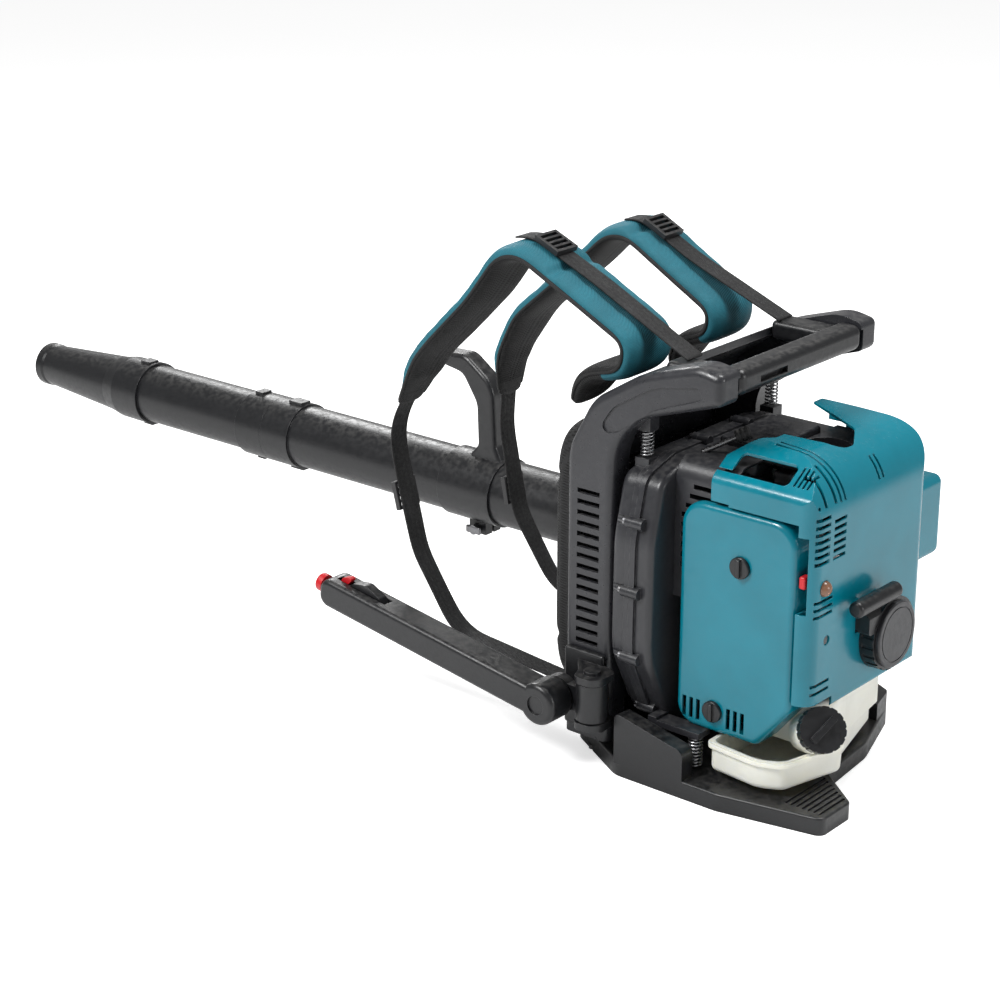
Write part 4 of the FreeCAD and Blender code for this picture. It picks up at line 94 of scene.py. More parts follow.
class Graph:
    """Adds nodes to a tree and links them, one call for each step."""

    def __init__(self, tree: bpy.types.NodeTree) -> None:
        """Keeps the tree.

        Args:
            tree: the node tree to fill.
        """
        self.tree = tree

    def add(self, kind: str, inputs: dict | None = None, **settings: object) -> bpy.types.Node:
        """Adds one node.

        Args:
            kind: the node's type name without its ShaderNode prefix.
            inputs: values or sockets for its inputs, by name or number.
            settings: properties set on the node itself.

        Returns:
            The new node.
        """
        node = self.tree.nodes.new("ShaderNode" + kind)
        for key, value in settings.items():
            setattr(node, key, value)
        self.feed(node, inputs or {})
        return node

    def feed(self, node: bpy.types.Node, inputs: dict) -> None:
        """Links or sets a node's inputs.

        Args:
            node: the node.
            inputs: values or sockets, by the input's name or number; a 3-tuple into a colour is opaque.
        """
        for key, value in inputs.items():
            socket = node.inputs[key]
            if isinstance(value, bpy.types.NodeSocket):
                self.tree.links.new(value, socket)
            elif isinstance(value, tuple) and len(value) == 3 and socket.type == "RGBA":
                socket.default_value = (*value, 1.0)
            else:
                socket.default_value = value

    def math(self, operation: str, a: object, b: object = 0.0) -> bpy.types.NodeSocket:
        """Adds a math node.

        Args:
            operation: the math node's operation.
            a: first value or socket.
            b: second value or socket.

        Returns:
            The result's socket.
        """
        return self.add("Math", {0: a, 1: b}, operation=operation).outputs[0]

    def mix(self, factor: object, a: object, b: object, blend: str = "MIX") -> bpy.types.NodeSocket:
        """Mixes two colours.

        Args:
            factor: how much of b shows.
            a: colour or socket at factor 0.
            b: colour or socket at factor 1.
            blend: the blend type.

        Returns:
            The mixed colour's socket.
        """
        node = self.add("Mix", data_type="RGBA", blend_type=blend, clamp_result=True)
        self.feed(node, {0: factor, 6: a, 7: b})
        return node.outputs[2]

    def noise(self, vector: object, scale: float, detail: float = 3.0) -> bpy.types.NodeSocket:
        """Adds a noise texture.

        Args:
            vector: coordinates in metres.
            scale: cycles per metre.
            detail: octaves.

        Returns:
            The noise value's socket, about 0.5.
        """
        return self.add("TexNoise", {"Vector": vector, "Scale": scale, "Detail": detail}).outputs[0]

    def ramp(self, value: object, low: float, high: float, to: tuple[float, float] = (0.0, 1.0),
             smooth: bool = True) -> bpy.types.NodeSocket:
        """Maps a value from one range to another, held at the ends.

        Args:
            value: the value's socket.
            low: where the source range starts.
            high: where the source range ends.
            to: the target range.
            smooth: whether the ends are eased.

        Returns:
            The mapped value's socket.
        """
        kind = "SMOOTHSTEP" if smooth else "LINEAR"
        node = self.add("MapRange", {0: value, 1: low, 2: high, 3: to[0], 4: to[1]}, interpolation_type=kind)
        return node.outputs[0]


class ShaderGroups:
    """Builds each shared node group once."""

    def __init__(self) -> None:
        """Builds all groups."""
        self.trees: dict[Group, bpy.types.NodeTree] = {}
        for build in (self._edge, self._mottle, self._moulded, self._metal, self._weave, self._webbing,
                      self._spacer):
            build()

    def start(self, group: Group, inputs: dict[str, object], outputs: dict[str, str]) -> tuple:
        """Opens a group with its sockets.

        Args:
            group: which group.
            inputs: default values by name; a 3-tuple is a colour.
            outputs: socket type suffix by name.

        Returns:
            The group's graph, its input sockets by name and its output node.
        """
        tree = bpy.data.node_groups.new(group.value, "ShaderNodeTree")
        for name, value in inputs.items():
            kind = "Color" if isinstance(value, tuple) else "Float"
            socket = tree.interface.new_socket(name=name, in_out="INPUT", socket_type="NodeSocket" + kind)
            socket.default_value = (*value, 1.0) if isinstance(value, tuple) else value
        for name, kind in outputs.items():
            tree.interface.new_socket(name=name, in_out="OUTPUT", socket_type="NodeSocket" + kind)
        self.trees[group] = tree
        graph = Graph(tree)
        source = tree.nodes.new("NodeGroupInput")
        sink = tree.nodes.new("NodeGroupOutput")
        return graph, source.outputs, sink

    def use(self, graph: Graph, group: Group, inputs: dict | None = None) -> bpy.types.Node:
        """Puts a group into another tree.

        Args:
            graph: the tree that uses it.
            group: which group.
            inputs: values or sockets by name.

        Returns:
            The group node.
        """
        node = graph.tree.nodes.new("ShaderNodeGroup")
        node.node_tree = self.trees[group]
        graph.feed(node, inputs or {})
        return node

    def _edge(self) -> None:
        """A normal rounded over sharp edges, and a mask that is bright on those edges."""
        graph, given, sink = self.start(Group.EDGE, {"Radius": 0.0008},
                                        {"Normal": "Vector", "Edge": "Float"})
        bevel = graph.add("Bevel", {"Radius": given["Radius"]}, samples=6)
        flat = graph.add("NewGeometry").outputs["Normal"]
        dot = graph.add("VectorMath", {0: bevel.outputs[0], 1: flat}, operation="DOT_PRODUCT")
        edge = graph.ramp(dot.outputs["Value"], 0.995, 0.88)
        graph.feed(sink, {"Normal": bevel.outputs[0], "Edge": edge})

    def _mottle(self) -> None:
        """Slow and quick unevenness, about 0.5, in object space."""
        graph, given, sink = self.start(Group.MOTTLE, {"Scale": 12.0}, {"Broad": "Float", "Fine": "Float"})
        place = graph.add("TexCoord").outputs["Object"]
        broad = graph.noise(place, given["Scale"], 4.0)
        quick = graph.math("MULTIPLY", given["Scale"], 11.0)
        fine = graph.noise(place, quick, 3.0)
        graph.feed(sink, {"Broad": broad, "Fine": fine})

    def _moulded(self) -> None:
        """Moulded plastic: pebble grain, uneven sheen, lighter edges that are partly scuffed plastic and
        partly painted edge highlight, and a little dust on top faces.
        """
        graph, given, sink = self.start(
            Group.MOULDED,
            {"Colour": (0.1, 0.1, 0.1), "EdgeWornAndLit": (0.2, 0.2, 0.2), "EdgeWearAndLight": 0.5, "Grain": 0.0009,
             "Depth": 0.00006, "Roughness": 0.4, "Radius": 0.0008, "Dust": 0.1},
            SURFACE)
        place = graph.add("TexCoord").outputs["Object"]
        uneven = self.use(graph, Group.MOTTLE, {"Scale": 14.0}).outputs
        rounded = self.use(graph, Group.EDGE, {"Radius": given["Radius"]}).outputs
        pitch = graph.math("DIVIDE", 1.0, given["Grain"])
        pebble = graph.add("TexVoronoi", {"Vector": place, "Scale": pitch}, feature="SMOOTH_F1")
        soft = graph.noise(place, 260.0, 2.0)
        height = graph.math("ADD", pebble.outputs["Distance"], graph.math("MULTIPLY", soft, 1.4))
        bump = graph.add("Bump", {"Height": height, "Distance": given["Depth"], "Strength": 0.8,
                                  "Normal": rounded["Normal"]})
        # Lighter colour on edges: partly scuffed plastic, partly painted edge highlight.
        worn_and_lit_edge = graph.math("MULTIPLY", rounded["Edge"], graph.ramp(uneven["Fine"], 0.42, 0.62))
        worn_and_lit_edge = graph.math("MULTIPLY", worn_and_lit_edge, given["EdgeWearAndLight"])
        shade = graph.ramp(uneven["Broad"], 0.3, 0.7, (0.9, 1.08), smooth=False)
        tone = graph.add("VectorMath", {0: given["Colour"], "Scale": shade}, operation="SCALE").outputs[0]
        colour = graph.mix(worn_and_lit_edge, tone, given["EdgeWornAndLit"])
        up = graph.add("SeparateXYZ", {0: graph.add("NewGeometry").outputs["Normal"]}).outputs["Z"]
        settled = graph.math("MULTIPLY", graph.ramp(up, 0.55, 1.0), graph.ramp(uneven["Fine"], 0.35, 0.7))
        settled = graph.math("MULTIPLY", settled, given["Dust"])
        colour = graph.mix(settled, colour, (0.3, 0.29, 0.27))
        rough = graph.math("ADD", given["Roughness"], graph.ramp(uneven["Fine"], 0.3, 0.7, (-0.05, 0.07)))
        rough = graph.math("ADD", rough, graph.math("MULTIPLY", settled, 0.5))
        graph.feed(sink, {"Colour": colour, "Roughness": rough, "Normal": bump.outputs[0]})

    def _metal(self) -> None:
        """Worked metal: fine drawn lines along one way, stains, and lighter edges that are partly rubbed
        bright metal and partly painted edge highlight.
        """
        graph, given, sink = self.start(
            Group.METAL,
            {"Colour": (0.4, 0.4, 0.4), "Stain": (0.15, 0.13, 0.11), "Stained": 0.25, "Roughness": 0.35,
             "Depth": 0.00003, "Radius": 0.0004},
            SURFACE)
        place = graph.add("TexCoord").outputs["Object"]
        drawn = graph.add("Mapping", {"Vector": place, "Scale": (900.0, 60.0, 900.0)}).outputs[0]
        lines = graph.noise(drawn, 1.0, 2.0)
        uneven = self.use(graph, Group.MOTTLE, {"Scale": 30.0}).outputs
        rounded = self.use(graph, Group.EDGE, {"Radius": given["Radius"]}).outputs
        blot = graph.math("MULTIPLY", graph.ramp(uneven["Broad"], 0.5, 0.72), given["Stained"])
        colour = graph.mix(blot, given["Colour"], given["Stain"])
        # Lighter colour on edges: partly rubbed bright metal, partly painted edge highlight.
        colour = graph.mix(graph.math("MULTIPLY", rounded["Edge"], 0.4), colour, (0.75, 0.75, 0.74))
        rough = graph.math("ADD", given["Roughness"], graph.ramp(lines, 0.3, 0.7, (-0.08, 0.1)))
        bump = graph.add("Bump", {"Height": lines, "Distance": given["Depth"], "Strength": 0.6,
                                  "Normal": rounded["Normal"]})
        graph.feed(sink, {"Colour": colour, "Roughness": rough, "Normal": bump.outputs[0]})

    def _threads(self, graph: Graph, pitch: object) -> tuple:
        """Splits the piece's own UV, in metres, into threads along and across.

        Args:
            graph: the group's graph.
            pitch: thread pitch in metres, value or socket.

        Returns:
            Sockets for the place along and across in threads.
        """
        place = graph.add("SeparateXYZ", {0: graph.add("TexCoord").outputs["UV"]}).outputs
        along = graph.math("DIVIDE", place["X"], pitch)
        across = graph.math("DIVIDE", place["Y"], pitch)
        return along, across

    def _weave(self) -> None:
        """Plain woven nylon: each thread goes over one and under the next."""
        graph, given, sink = self.start(
            Group.WEAVE,
            {"Colour": (0.1, 0.3, 0.4), "Deep": (0.01, 0.05, 0.07), "Pitch": 0.0011, "Depth": 0.0003},
            SURFACE)
        along, across = self._threads(graph, given["Pitch"])
        parts = []
        for run, other, phase in ((along, across, 0.0), (across, along, 1.0)):
            ridge = graph.math("ABSOLUTE", graph.math("SINE", graph.math("MULTIPLY", run, math.pi)))
            lane = graph.math("ADD", graph.math("FLOOR", run), phase)
            wave = graph.math("COSINE", graph.math("MULTIPLY", graph.math("ADD", other, lane), math.pi))
            parts.append(graph.math("MULTIPLY", ridge, graph.ramp(wave, -1.0, 1.0)))
        height = graph.math("MAXIMUM", parts[0], parts[1])
        uneven = self.use(graph, Group.MOTTLE, {"Scale": 22.0}).outputs
        body = graph.mix(graph.ramp(uneven["Broad"], 0.3, 0.7, (0.0, 0.5)), given["Colour"], given["Deep"])
        fuzz = graph.ramp(uneven["Fine"], 0.3, 0.7, (0.0, 0.22))
        body = graph.mix(fuzz, body, given["Deep"])
        # Painted shade: the gaps where the threads dip under each other take the darker Deep colour.
        colour = graph.mix(graph.ramp(height, 0.1, 0.85), given["Deep"], body)
        bump = graph.add("Bump", {"Height": height, "Distance": given["Depth"], "Strength": 0.7})
        rough = graph.ramp(height, 0.0, 1.0, (0.85, 0.55))
        graph.feed(sink, {"Colour": colour, "Roughness": rough, "Normal": bump.outputs[0]})

    def _webbing(self) -> None:
        """Webbing: slanted ribs that turn at each lane across the band, with firm selvedges."""
        graph, given, sink = self.start(
            Group.WEBBING,
            {"Colour": (0.02, 0.02, 0.02), "Deep": (0.004, 0.004, 0.004), "Pitch": 0.0019, "Depth": 0.0004},
            SURFACE)
        along, across = self._threads(graph, given["Pitch"])
        lane = graph.math("PINGPONG", graph.math("MULTIPLY", across, 0.5), 1.0)
        slant = graph.math("ADD", along, graph.math("MULTIPLY", lane, 1.3))
        ribs = graph.math("ABSOLUTE", graph.math("SINE", graph.math("MULTIPLY", slant, math.pi)))
        lines = graph.math("ABSOLUTE", graph.math("SINE", graph.math("MULTIPLY", across, math.pi * 0.5)))
        height = graph.math("MULTIPLY", ribs, graph.ramp(lines, 0.0, 0.35, (0.35, 1.0)))
        uneven = self.use(graph, Group.MOTTLE, {"Scale": 25.0}).outputs
        # Painted shade: the low parts between the ribs and along the lane lines take the darker Deep colour.
        colour = graph.mix(graph.ramp(height, 0.1, 0.9), given["Deep"], given["Colour"])
        worn = graph.math("MULTIPLY", graph.ramp(uneven["Broad"], 0.45, 0.75), 0.35)
        colour = graph.mix(worn, colour, (0.03, 0.03, 0.032))
        bump = graph.add("Bump", {"Height": height, "Distance": given["Depth"], "Strength": 0.8})
        rough = graph.ramp(uneven["Fine"], 0.3, 0.7, (0.6, 0.8))
        graph.feed(sink, {"Colour": colour, "Roughness": rough, "Normal": bump.outputs[0]})

    def _spacer(self) -> None:
        """Spacer mesh: a knitted face with rows of small round holes."""
        graph, given, sink = self.start(
            Group.SPACER,
            {"Colour": (0.03, 0.03, 0.03), "Deep": (0.003, 0.003, 0.003), "Pitch": 0.0032, "Depth": 0.0008},
            SURFACE)
        along, across = self._threads(graph, given["Pitch"])
        place = graph.add("CombineXYZ", {0: along, 1: across}).outputs[0]
        cell = graph.add("TexVoronoi", {"Vector": place, "Scale": 1.0, "Randomness": 0.12},
                         voronoi_dimensions="2D", feature="F1").outputs["Distance"]
        height = graph.ramp(cell, 0.16, 0.42)
        uneven = self.use(graph, Group.MOTTLE, {"Scale": 25.0}).outputs
        # Painted shade: the holes take the darker Deep colour.
        colour = graph.mix(height, given["Deep"], given["Colour"])
        colour = graph.mix(graph.ramp(uneven["Fine"], 0.4, 0.8, (0.0, 0.3)), colour, given["Deep"])
        bump = graph.add("Bump", {"Height": height, "Distance": given["Depth"], "Strength": 0.8})
        rough = graph.ramp(height, 0.0, 1.0, (0.95, 0.75))
        graph.feed(sink, {"Colour": colour, "Roughness": rough, "Normal": bump.outputs[0]})


@dataclass(frozen=True)
class Finish:
    """A material's base: a name, a shared group with its numbers, and what the surface shader adds."""

    name: str
    group: Group
    colour: Colour
    numbers: tuple[tuple[str, object], ...] = ()
    metallic: float = 0.0
    coat: float = 0.0
    sheen: float = 0.0
    scatter: float = 0.0
    clear: float = 0.0

    def build(self, groups: ShaderGroups) -> bpy.types.Material:
        """Makes the material.

        Args:
            groups: the shared node groups.

        Returns:
            The material.
        """
        material = bpy.data.materials.new(self.name)
        material.use_nodes = True
        graph = Graph(material.node_tree)
        shader = next(n for n in material.node_tree.nodes if n.type == "BSDF_PRINCIPLED")
        surface = groups.use(graph, self.group, {"Colour": self.colour, **dict(self.numbers)})
        graph.feed(shader, {
            "Base Color": surface.outputs["Colour"], "Roughness": surface.outputs["Roughness"],
            "Normal": surface.outputs["Normal"], "Metallic": self.metallic, "Coat Weight": self.coat,
            "Coat Roughness": 0.12, "Sheen Weight": self.sheen, "Sheen Roughness": 0.45,
            "Subsurface Weight": self.scatter, "Subsurface Radius": (0.012, 0.011, 0.008),
            "Subsurface Scale": 1.0, "Transmission Weight": self.clear})
        return material


def moulded(name: str, colour: Colour, roughness: float, worn: Colour, wear: float = 0.5, grain: float = 0.9,
            depth: float = 0.06, radius: float = 0.8, dust: float = 0.1, **more: float) -> Finish:
    """Describes a moulded plastic.

    Args:
        name: the material's name.
        colour: base colour, linear.
        roughness: middle roughness.
        worn: colour of the edges, partly scuffed plastic and partly painted edge highlight.
        wear: how much of that edge colour shows.
        grain: grain size in millimetres.
        depth: grain depth in millimetres.
        radius: how far edges look rounded, in millimetres.
        dust: how much settles on top faces.
        more: further fields of the finish.

    Returns:
        The finish.
    """
    numbers = (("Roughness", roughness), ("EdgeWornAndLit", worn), ("EdgeWearAndLight", wear), ("Grain", grain * MM),
               ("Depth", depth * MM), ("Radius", radius * MM), ("Dust", dust))
    return Finish(name, Group.MOULDED, colour, numbers, **more)


def metal(name: str, colour: Colour, roughness: float, stained: float, radius: float = 0.4) -> Finish:
    """Describes a worked metal.

    Args:
        name: the material's name.
        colour: base colour, linear.
        roughness: middle roughness.
        stained: how much stain shows.
        radius: how far edges look rounded, in millimetres.

    Returns:
        The finish.
    """
    numbers = (("Roughness", roughness), ("Stained", stained), ("Radius", radius * MM))
    return Finish(name, Group.METAL, colour, numbers, metallic=1.0)


# The fourth value of each plastic is its edge colour: partly scuffed plastic, partly painted edge highlight.
PLASTICS = (
    moulded("black_plastic", (0.008, 0.0083, 0.0095), 0.33, (0.09, 0.09, 0.095), 0.5, 1.0, 0.07),
    moulded("grey_plastic", (0.022, 0.0225, 0.026), 0.34, (0.16, 0.16, 0.165), 0.5, 1.0, 0.06),
    moulded("charcoal_frame", (0.02, 0.0205, 0.024), 0.32, (0.13, 0.13, 0.135), 0.5, 1.1, 0.08),
    moulded("teal_plastic", (0.0, 0.165, 0.225), 0.2, (0.08, 0.36, 0.44), 0.4, 0.7, 0.012, 1.0, 0.02),
    moulded("red_plastic", (0.5, 0.006, 0.012), 0.34, (0.8, 0.12, 0.1), 0.4, 0.7, 0.03),
    moulded("tank_plastic", (0.78, 0.77, 0.68), 0.38, (0.9, 0.89, 0.84), 0.3, 1.3, 0.05, 1.2, 0.05,
            scatter=0.5),
    moulded("buckle_plastic", (0.014, 0.014, 0.015), 0.36, (0.08, 0.08, 0.08), 0.5, 0.6, 0.03, 0.5),
    moulded("black_rubber", (0.016, 0.016, 0.017), 0.62, (0.05, 0.05, 0.05), 0.3, 0.8, 0.05, 0.8, 0.2),
    moulded("primer_clear", (0.34, 0.17, 0.1), 0.14, (0.5, 0.35, 0.3), 0.2, 0.6, 0.01, 0.5, 0.02,
            clear=0.45),
    moulded("filter_paper", (0.62, 0.54, 0.36), 0.9, (0.7, 0.65, 0.5), 0.2, 0.8, 0.1, 0.4, 0.1),
    moulded("ceramic", (0.8, 0.8, 0.77), 0.2, (0.85, 0.85, 0.85), 0.2, 0.8, 0.01, 0.4, 0.02, coat=0.5),
)
METALS = (
    metal("spring_steel", (0.42, 0.42, 0.43), 0.3, 0.3, 0.2),
    metal("screw_steel", (0.22, 0.22, 0.23), 0.35, 0.3, 0.3),
    metal("forged_steel", (0.4, 0.4, 0.41), 0.4, 0.3),
    metal("cast_aluminium", (0.5, 0.5, 0.51), 0.5, 0.35, 0.8),
    metal("muffler_steel", (0.3, 0.28, 0.26), 0.45, 0.6, 0.8),
)
# Deep is each fabric's darker tone: random patches, and painted shade in the low parts of the weave and in
# the mesh holes.
FABRICS = (
    Finish("teal_fabric", Group.WEAVE, (0.004, 0.175, 0.235), (("Deep", (0.0, 0.075, 0.105)),),
           sheen=0.04),
    Finish("black_fabric", Group.SPACER, (0.006, 0.006, 0.0065), sheen=0.01),
    Finish("webbing", Group.WEBBING, (0.005, 0.005, 0.0055), sheen=0.01),
    Finish("binding", Group.WEAVE, (0.007, 0.007, 0.008),
           (("Deep", (0.002, 0.002, 0.002)), ("Pitch", 0.0009))),
    Finish("rope", Group.WEAVE, (0.6, 0.58, 0.52), (("Deep", (0.2, 0.19, 0.16)), ("Pitch", 0.0008)),
           sheen=0.1),
)


def run_length(line: np.ndarray) -> np.ndarray:
    """Length along a line at each of its points, the sum of the steps before it.

    Args:
        line: points (n, 2) or (n, 3).

    Returns:
        Lengths (n,), from 0.
    """
    return np.concatenate([[0.0], np.cumsum(np.linalg.norm(np.diff(line, axis=0), axis=1))])


def cloth_places(length: np.ndarray, girth: np.ndarray) -> np.ndarray:
    """Lays a surface flat: how far along it and how far round it each point is.

    Args:
        length: lengths along (n,).
        girth: lengths round (m,).

    Returns:
        Places (n, m, 2).
    """
    return np.stack(np.broadcast_arrays(length[:, None], girth[None, :]), axis=-1)


def bulge(value: np.ndarray, power: float | np.ndarray) -> np.ndarray:
    """Raises a value's size to a power and keeps its sign, which squares or rounds an oval.

    Args:
        value: a sine or cosine.
        power: below 1 for a fuller form.

    Returns:
        The shaped value.
    """
    return np.sign(value) * np.abs(value) ** power


def put(name: str, data: bpy.types.ID) -> bpy.types.Object:
    """Links a new object into the scene.

    Args:
        name: the object's name.
        data: its mesh, lamp or camera.

    Returns:
        The object, at the origin.
    """
    made = bpy.data.objects.new(name, data)
    bpy.context.scene.collection.objects.link(made)
    return made


@dataclass(frozen=True)
class Route:
    """A line in an upright plane, straight runs joined by arcs, as the CAD's bands have."""

    corners: tuple[tuple[float, float], ...]
    radii: tuple[float, ...]
    middle: float

    def outline(self) -> np.ndarray:
        """Works out the line's points, in millimetres.

        Returns:
            Points (n, 2), closer than a millimetre on the arcs.
        """
        corners = np.array(self.corners)
        points = [corners[:1]]
        for before, corner, after, radius in zip(corners[:-2], corners[1:-1], corners[2:], self.radii[1:-1]):
            a = (before - corner) / np.linalg.norm(before - corner)
            b = (after - corner) / np.linalg.norm(after - corner)
            half = math.acos(float(np.clip(a @ b, -1.0, 1.0))) / 2
            reach = radius / math.tan(half)
            centre = corner + (a + b) / np.linalg.norm(a + b) * radius / math.sin(half)
            spin = np.linspace(0.0, 1.0, 40)[:, None]
            start = corner + a * reach - centre
            end = corner + b * reach - centre
            chord = (1 - spin) * start + spin * end
            points.append(centre + chord / np.linalg.norm(chord, axis=1)[:, None] * radius)
        points.append(corners[-1:])
        return np.concatenate(points)

    def sample(self, pitch: float, relax: float = 6.0) -> tuple[np.ndarray, np.ndarray, np.ndarray]:
        """Steps evenly along the line, its bends eased as cloth eases them.

        Args:
            pitch: step in millimetres.
            relax: how far the bends are eased, in millimetres.

        Returns:
            Lengths (n,), points (n, 2) and unit tangents (n, 2).
        """
        line = self.outline()
        length = run_length(line)
        count = int(length[-1] / pitch) + 1
        s = np.linspace(0.0, length[-1], count)
        fine = np.arange(-3.0 * relax, length[-1] + 3.0 * relax, 1.0)
        held = np.clip(fine, 0.0, length[-1])
        raw = np.stack([np.interp(held, length, line[:, i]) for i in range(2)], axis=1)
        ends = (line[1] - line[0], line[-1] - line[-2])
        beyond = (np.where(fine < 0, fine, 0.0), np.where(fine > length[-1], fine - length[-1], 0.0))
        for past, end in zip(beyond, ends):
            raw += past[:, None] * end / np.linalg.norm(end)
        kernel = np.exp(-0.5 * (np.arange(-3 * relax, 3 * relax + 1) / relax) ** 2)
        kernel /= kernel.sum()
        eased = np.stack([np.convolve(raw[:, i], kernel, mode="same") for i in range(2)], axis=1)
        points = np.stack([np.interp(s, fine, eased[:, i]) for i in range(2)], axis=1)
        tangent = np.gradient(points, s, axis=0)
        tangent /= np.linalg.norm(tangent, axis=1)[:, None]
        return s, points, tangent


def loop_mesh(name: str, rings: np.ndarray, uv: np.ndarray, material: bpy.types.Material,
              poles: bool = True, join: bool = False) -> bpy.types.Object:
    """Makes a mesh from rings of points, closed round each ring.

    Args:
        name: the object's name.
        rings: points (n, m, 3) in millimetres.
        uv: place of each point on the cloth (n, m + 1, 2) in millimetres, its last column closing the ring.
        material: the mesh's first material.
        poles: whether each end closes onto one point.
        join: whether the last ring joins the first.

    Returns:
        The smooth-shaded object, faces outward.
    """
    rows, cols = rings.shape[:2]
    vertices = rings.reshape(-1, 3)
    row = np.arange(rows if join else rows - 1)[:, None]
    col = np.arange(cols)[None, :]
    nxt = (col + 1) % cols
    below = (row + 1) % rows
    quads = np.stack([row * cols + col, row * cols + nxt, below * cols + nxt, below * cols + col], axis=-1)
    corners = quads.reshape(-1, 4)
    flat_uv = np.stack([uv[row, col], uv[row, col + 1], uv[below, col + 1], uv[below, col]], axis=2)
    faces = [corners.reshape(-1)]
    starts = [np.arange(len(corners)) * 4]
    sizes = [np.full(len(corners), 4)]
    loops = [flat_uv.reshape(-1, 2)]
    if poles:
        tips = np.stack([rings[0].mean(axis=0), rings[-1].mean(axis=0)])
        vertices = np.concatenate([vertices, tips])
        for tip, base, turn in ((rows * cols, 0, 1), (rows * cols + 1, (rows - 1) * cols, -1)):
            edge = np.arange(cols)
            fan = np.stack([np.full(cols, tip), base + edge, base + (edge + 1) % cols], axis=1)
            fan = fan[:, ::-turn] if turn > 0 else fan
            end = uv[0 if base == 0 else -1]
            pair = np.stack([np.broadcast_to(end[:-1].mean(axis=0), (cols, 2)), end[:-1], end[1:]], axis=1)
            pair = pair[:, ::-turn] if turn > 0 else pair
            starts.append(starts[-1][-1] + sizes[-1][-1] + np.arange(cols) * 3)
            sizes.append(np.full(cols, 3))
            faces.append(fan.reshape(-1))
            loops.append(pair.reshape(-1, 2))
    mesh = bpy.data.meshes.new(name)
    mesh.vertices.add(len(vertices))
    mesh.vertices.foreach_set("co", (vertices * MM).astype(np.float32).reshape(-1))
    index = np.concatenate(faces)
    mesh.loops.add(len(index))
    mesh.loops.foreach_set("vertex_index", index.astype(np.int32))
    begin = np.concatenate(starts)
    mesh.polygons.add(len(begin))
    mesh.polygons.foreach_set("loop_start", begin.astype(np.int32))
    layer = mesh.uv_layers.new(name="cloth")
    mesh.update(calc_edges=True)
    layer.data.foreach_set("uv", (np.concatenate(loops) * MM).astype(np.float32).reshape(-1))
    if signed_volume(mesh) < 0:
        mesh.flip_normals()
    mesh.polygons.foreach_set("use_smooth", np.ones(len(begin), dtype=bool))
    mesh.materials.append(material)
    mesh.validate()
    return put(name, mesh)


def signed_volume(mesh: bpy.types.Mesh) -> float:
    """Sums the volume under each face, which is negative where faces point inward.

    Args:
        mesh: a closed mesh.

    Returns:
        The signed volume.
    """
    count = len(mesh.polygons)
    centre = np.zeros(count * 3)
    normal = np.zeros(count * 3)
    area = np.zeros(count)
    mesh.polygons.foreach_get("center", centre)
    mesh.polygons.foreach_get("normal", normal)
    mesh.polygons.foreach_get("area", area)
    return float(((centre.reshape(-1, 3) * normal.reshape(-1, 3)).sum(axis=1) * area).sum() / 3)


def tube(name: str, line: np.ndarray, radius: np.ndarray | float, material: bpy.types.Material,
         sides: int = 10, join: bool = False) -> bpy.types.Object:
    """Sweeps a circle along a line of points.

    Args:
        name: the object's name.
        line: points (n, 3) in millimetres.
        radius: one radius or one for each point.
        material: the material.
        sides: points round the tube.
        join: whether the line closes on itself.

    Returns:
        The object.
    """
    if join:
        ahead = np.roll(line, -1, axis=0) - np.roll(line, 1, axis=0)
    else:
        ahead = np.gradient(line, axis=0)
    ahead /= np.linalg.norm(ahead, axis=1)[:, None]
    lean = np.where(np.abs(ahead[:, :1]) > 0.9, np.array([[0.0, 0.0, 1.0]]), np.array([[1.0, 0.0, 0.0]]))
    side = np.cross(ahead, lean)
    side /= np.linalg.norm(side, axis=1)[:, None]
    up = np.cross(side, ahead)
    turn = np.linspace(0.0, 2 * math.pi, sides, endpoint=False)
    reach = np.broadcast_to(np.asarray(radius, dtype=float), (len(line),))[:, None, None]
    cosine, sine = np.cos(turn)[None, :, None], np.sin(turn)[None, :, None]
    rings = line[:, None] + reach * (cosine * side[:, None] + sine * up[:, None])
    around = np.linspace(0.0, 2 * math.pi * float(np.max(radius)), sides + 1)
    places = cloth_places(run_length(line), around)
    return loop_mesh(name, rings, places, material, poles=not join, join=join)


def in_plane(points: np.ndarray, across: np.ndarray, out: np.ndarray, tangent: np.ndarray,
             middle: float) -> np.ndarray:
    """Places offsets from a line in an upright plane.

    Args:
        points: the line's points (n, 2) as (y, z).
        across: offset along X (n, m).
        out: offset along the line's normal (n, m).
        tangent: the line's unit tangents (n, 2).
        middle: the line's X.

    Returns:
        Points (n, m, 3).
    """
    normal = np.stack([-tangent[:, 1], tangent[:, 0]], axis=1)
    y = points[:, :1] + normal[:, :1] * out
    z = points[:, 1:] + normal[:, 1:] * out
    return np.stack(np.broadcast_arrays(middle + across, y, z), axis=-1)


def bell(value: np.ndarray, centre: float, width: float) -> np.ndarray:
    """A smooth hump of height 1.

    Args:
        value: where it is read.
        centre: its middle.
        width: its half width at 60 % height.

    Returns:
        The hump's height.
    """
    return np.exp(-0.5 * ((value - centre) / width) ** 2)


